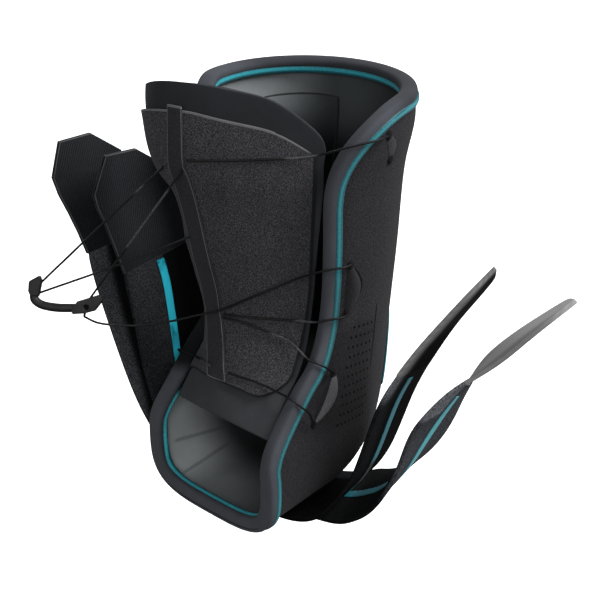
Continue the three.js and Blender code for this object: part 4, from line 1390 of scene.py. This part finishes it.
@dataclass
class Straps:
    """Stirrup straps with hook tabs at their ends and coloured stripes."""

    edge: float = 0.4 * MM
    tuck: float = 2.5 * MM
    near: float = 1.6 * MM
    band_hold: float = 0.6
    cut_angle: float = math.radians(50)
    bands: tuple[tuple[str, Finish, tuple[str, str]], ...] = (
        ("strap_inner", STRAP_CLOTH, ("hook_tab_left_front", "hook_tab_right_front")),
        ("strap_outer", STRAP_LIT_AND_SHADED, ("hook_tab_left_rear", "hook_tab_right_rear")),
    )
    tabs: tuple[tuple[str, Finish, bool], ...] = (
        ("hook_tab_left_front", TAB_LEFT, True),
        ("hook_tab_left_rear", TAB_LEFT, True),
        ("hook_tab_right_front", TAB_FRONT, False),
        ("hook_tab_right_rear", TAB_REAR, False),
    )
    stripe_edge: float = 0.15 * MM
    stripe_height: float = 0.3 * MM
    stripes: tuple[tuple[str, str, float], ...] = (
        ("stripe_left_front", "strap_inner", 0.0),
        ("stripe_right_front", "strap_inner", 0.7 * MM),
        ("stripe_right_rear", "strap_outer", 0.7 * MM),
        ("stripe_right_under", "strap_outer", 0.4 * MM),
    )

    def build(self) -> None:
        """Build and dress every piece of the straps."""
        grounds = {}
        for node, finish, ends in self.bands:
            piece = Bench.copy_node(node, node + "_band")
            for end in ends:
                self.tuck_in(piece, end)
            self.finish(piece, node, Slot.STRAP, finish, False)
            grounds[node] = Bench.ground(piece)
        for node, finish, cut in self.tabs:
            self.finish(Bench.copy_node(node, node + "_band"), node, Slot.TAB, finish, cut)
        for node, band, growth in self.stripes:
            piece = Bench.copy_node(node, node + "_tape")
            Bench.round_off(piece, self.stripe_edge)
            Bench.subdivide(piece, levels=2)
            Bench.fatten(piece, growth)
            Bench.settle(piece, grounds[band], 1.0, self.stripe_height)
            Bench.dress(piece, Slot.PIPING, STRIPE_TAPE)
            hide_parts(node)

    def tuck_in(self, band: bpy.types.Object, tab: str) -> None:
        """Slide the end of a band a little way into its tab.

        Args:
            band: band whose end moves.
            tab: CAD node of the tab.
        """
        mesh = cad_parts[tab].data
        cloth = Bench.ground(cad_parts[tab])
        middle = sum((vertex.co for vertex in mesh.vertices), Vector()) / len(mesh.vertices)
        for vertex in band.data.vertices:
            place, _, _, distance = cloth.find_nearest(vertex.co)
            if distance < self.near:
                vertex.co += (middle - place).normalized() * self.tuck

    def finish(self, piece: bpy.types.Object, node: str, slot: Slot, finish: Finish, cut: bool) -> None:
        """Round and dress a woven band.

        Args:
            piece: copy of the CAD ribbon.
            node: CAD node to replace.
            slot: material slot of the record.
            finish: cloth of the band.
            cut: whether its outline has straight cut corners.
        """
        Bench.round_off(piece, self.edge, slot=1)
        if cut:
            bpy.ops.object.shade_smooth_by_angle(angle=self.cut_angle)
        else:
            hold = 0.0 if slot is Slot.TAB else self.band_hold
            Bench.subdivide(piece, levels=2, hold=hold)
        Bench.dress(piece, slot, finish, STRAP_EDGE if cut else finish)
        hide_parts(node)


@dataclass
class Handle:
    """Pull handle: a curved grip between two clips that hold the laces."""

    clip_edge: float = 0.7 * MM
    clip_steps: int = 3
    smooth_angle: float = math.radians(40)
    knot: float = 1.3 * MM
    grip_radius: float = 1.95 * MM
    grip_sides: int = 5
    grip_steps: int = 6
    grip: tuple[Triple, ...] = (
        (-56.87, -109.72, 30.68), (-55.6, -111.22, 26.41), (-53.15, -110.18, 24.41),
        (-49.67, -107.61, 23.32), (-46.02, -104.49, 22.86), (-43.02, -101.7, 22.86),
        (-40.87, -99.75, 22.77),
    )

    def build(self) -> None:
        """Build and dress the clips, the grip and the knot."""
        for node in ("handle_clip_left", "handle_clip_right"):
            piece = Bench.copy_node(node, node + "_moulding")
            Bench.round_off(piece, self.clip_edge, self.clip_steps)
            bpy.ops.object.shade_smooth_by_angle(angle=self.smooth_angle)
            Bench.dress(piece, Slot.HANDLE, BLACK_PLASTIC)
            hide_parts(node)
        path = smooth_path(self.grip, self.grip_steps)
        grip = Bench.tube("handle_grip_moulding", path, self.grip_radius)
        grip.data.bevel_resolution = self.grip_sides
        Bench.only(grip)
        bpy.ops.object.convert(target="MESH")
        bpy.ops.object.shade_smooth_by_angle(angle=self.smooth_angle)
        Bench.dress(grip, Slot.HANDLE, BLACK_PLASTIC)
        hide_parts("handle_grip")
        knot = Bench.ball("lace_knot", Vector(CLIP_HOLE) * MM, (self.knot, self.knot, self.knot))
        Bench.dress(knot, Slot.LACE, KNOT_AND_MOUTH_SHADE)


@dataclass
class Lace:
    """One run of lace through points in millimetres, with the place in the clip that holds it, if any."""

    node: str
    lay: Lay
    path: tuple[Triple, ...]
    clip: Triple | None = None


@dataclass
class Laces:
    """Thin round laces from the handle and the strip to the guides."""

    diameter: float = 1.0 * MM
    least_steps: int = 3
    steps: int = 24
    runs: tuple[Lace, ...] = (
        Lace("lace_a", Lay.TAUT, (
            (-55, -106, 34), (-36.5, -86.4, 59.5), (-17.9, -66.6, 84.9),
        ), (-57.0, -108.0, 31.2)),
        Lace("lace_b", Lay.TAUT, (
            (-54.2, -108.2, 29.2), (-33, -84, 40), (-11.6, -58.9, 52.3),
        ), (-57.0, -111.2, 27.9)),
        Lace("lace_c", Lay.TAUT, (
            (-37.5, -93.3, 28.2), (-22, -79.8, 57), (-6.4, -66, 86),
        ), (-38.8, -94.4, 25.8)),
        Lace("lace_d", Lay.LOOSE, (
            (-37.6, -98.8, 19.5), (-35.8, -93.4, 15.2), (-32.9, -85, 11.9), (-28.2, -74, 9.5),
            (-20.8, -61.4, 9.8), (-13.6, -52.4, 12), (-8.4, -49.7, 13.8), (-3.2, -46.8, 16.4),
            (4.1, -44.2, 21), (12.5, -39.1, 26.3), (19, -33.6, 30.3), (26.6, -28.8, 34.8),
            (35.6, -27.3, 39.5), (40.2, -23.5, 41), (43.2, -18, 41.2), (43, -14.2, 41.2),
        ), CLIP_HOLE),
        Lace("lace_e", Lay.TAUT, (
            (-4.1, -46.4, 13.2), (3.3, -43.7, 13.5), (11.6, -38.4, 13.4), (20, -31.9, 13.1),
            (27.2, -28.4, 13.7), (34.4, -27, 15), (38.6, -23.4, 16.2), (41.6, -17.6, 16.4),
            (41.2, -14, 16.3),
        )),
        Lace("lace_f", Lay.TAUT, (
            (-4.2, -46.6, 11.5), (3.4, -44, 11.1), (11, -39.8, 8.8), (17.5, -35.7, 6.3),
            (23, -32.6, 4.2), (29.5, -32.2, 1), (34.8, -32.1, -1.6), (38.8, -29.5, -3.4),
            (41.2, -25.5, -6.6), (41, -22.2, -9.8),
        )),
        Lace("lace_g", Lay.TAUT, (
            (2.7, -50.9, -12.4), (8.5, -49.5, -13), (15.8, -47.3, -13.6), (21.6, -45.5, -14.7),
            (28.5, -44.6, -15.6), (35.4, -45, -15.8), (39.8, -42.3, -19.5), (41.6, -38.9, -23.4),
            (41.1, -36.3, -29), (40.8, -34.9, -31),
        )),
        Lace("lace_h", Lay.TAUT, (
            (-6.4, -53.4, -11.1), (-13.3, -51.3, -12.3), (-23.3, -46.7, -14.7), (-34.6, -46.6, -15.3),
            (-40, -42.5, -18.8), (-41.6, -38.9, -23.4), (-41.1, -36.3, -29), (-40.8, -34.9, -31),
        )),
        Lace("lace_top", Lay.TAUT, (
            (-6, -64.3, 90.2), (-2.3, -62.1, 90.1), (2.7, -58.5, 90.4), (10.5, -51.5, 90.5),
            (19, -41.7, 90.5), (25.3, -33.7, 90.5), (33, -26.4, 91.6), (45.4, -21.1, 96.6),
            (49.2, -16, 97.8), (52, -8, 98.4), (51.2, -1.4, 98.4),
        )),
    )

    def build(self) -> None:
        """Build and dress every lace."""
        for run in self.runs:
            path = smooth_path(run.path, max(self.least_steps, self.steps // len(run.path)))
            piece = Bench.tube(run.node + "_cord", path, self.diameter / 2)
            Bench.dress(piece, Slot.LACE, LACE_BRAID)
            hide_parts(run.node)
            if run.clip:
                held = [Vector(run.clip) * MM, path[0]]
                end = Bench.bead(run.node + "_end", held, self.diameter / 2)
                Bench.dress(end, Slot.LACE, LACE_BRAID)
            run_length(path)


@dataclass
class Lamp:
    """Soft light from one side, as from a wide window."""

    name: str
    side: Triple
    spread: float
    power: float


@dataclass
class Studio:
    """Camera at the angle of the photo, soft lights and a plain floor."""

    eye: Triple = (0.3833, -0.4145, 0.2666)
    right: Triple = (0.731, 0.682, 0.0)
    up: Triple = (-0.284, 0.304, 0.909)
    lens: float = 80.0
    sensor: float = 36.0
    nearest: float = 0.01
    floor_level: float = -0.9
    floor_size: float = 40.0
    room: float = 0.26
    lamps: tuple[Lamp, ...] = (
        Lamp("key_light", (0.62, 0.46, 0.78), 32.0, 4.4),
        Lamp("fill_light", (0.4, -0.8, 0.4), 60.0, 1.1),
        Lamp("back_light", (-0.75, 0.5, 0.3), 60.0, 0.8),
    )

    def build(self) -> None:
        """Place the camera, the lights and the floor."""
        self.camera()
        for lamp in self.lamps:
            self.light(lamp)
        self.floor()
        self.air()
        bpy.context.scene.view_settings.view_transform = "Standard"

    def air(self) -> None:
        """Room that is white to the camera and dim to the splint."""
        world = bpy.data.worlds.new("pale_room")
        bpy.context.scene.world = world
        world.use_nodes = True
        tree = world.node_tree
        background = tree.nodes["Background"]
        background.inputs["Color"].default_value = (1.0, 1.0, 1.0, 1.0)
        rays = tree.nodes.new("ShaderNodeLightPath")
        strength = tree.nodes.new("ShaderNodeMapRange")
        strength.inputs["To Min"].default_value = self.room
        tree.links.new(rays.outputs["Is Camera Ray"], strength.inputs["Value"])
        tree.links.new(strength.outputs["Result"], background.inputs["Strength"])

    def camera(self) -> None:
        """Camera that frames the splint as the photo does."""
        right, up = Vector(self.right).normalized(), Vector(self.up).normalized()
        turn = Matrix((right, up, right.cross(up))).transposed().to_4x4()
        data = bpy.data.cameras.new("photo_camera")
        data.lens = self.lens
        data.sensor_width = self.sensor
        data.sensor_fit = "HORIZONTAL"
        data.clip_start = self.nearest
        camera = bpy.data.objects.new("photo_camera", data)
        camera.matrix_world = Matrix.Translation(Vector(self.eye)) @ turn
        bpy.context.scene.collection.objects.link(camera)
        bpy.context.scene.camera = camera

    def light(self, lamp: Lamp) -> None:
        """Soft light that shines from its side.

        Args:
            lamp: light to place.
        """
        data = bpy.data.lights.new(lamp.name, "SUN")
        data.angle = math.radians(lamp.spread)
        data.energy = lamp.power
        light = bpy.data.objects.new(lamp.name, data)
        light.location = lamp.side
        light.rotation_euler = Vector(lamp.side).to_track_quat("Z", "Y").to_euler()
        bpy.context.scene.collection.objects.link(light)

    def floor(self) -> None:
        """Plain pale floor well below the splint."""
        bpy.ops.object.select_all(action="DESELECT")
        bpy.ops.mesh.primitive_plane_add(size=self.floor_size, location=(0.0, 0.0, self.floor_level))
        floor = bpy.context.object
        floor.name = "studio_floor"
        floor.data.materials.append(PaleFloor("floor_paint").make())
        floor.visible_diffuse = False
        floor.visible_glossy = False


def main() -> None:
    """Build the splint piece by piece."""
    logging.basicConfig(level=logging.INFO, format="%(message)s")
    Studio().build()
    for part in (Laces(), Handle(), Sleeve(), Flap(), Straps()):
        part.build()
    bpy.ops.object.select_all(action="DESELECT")


if __name__ == "__main__":
    main()
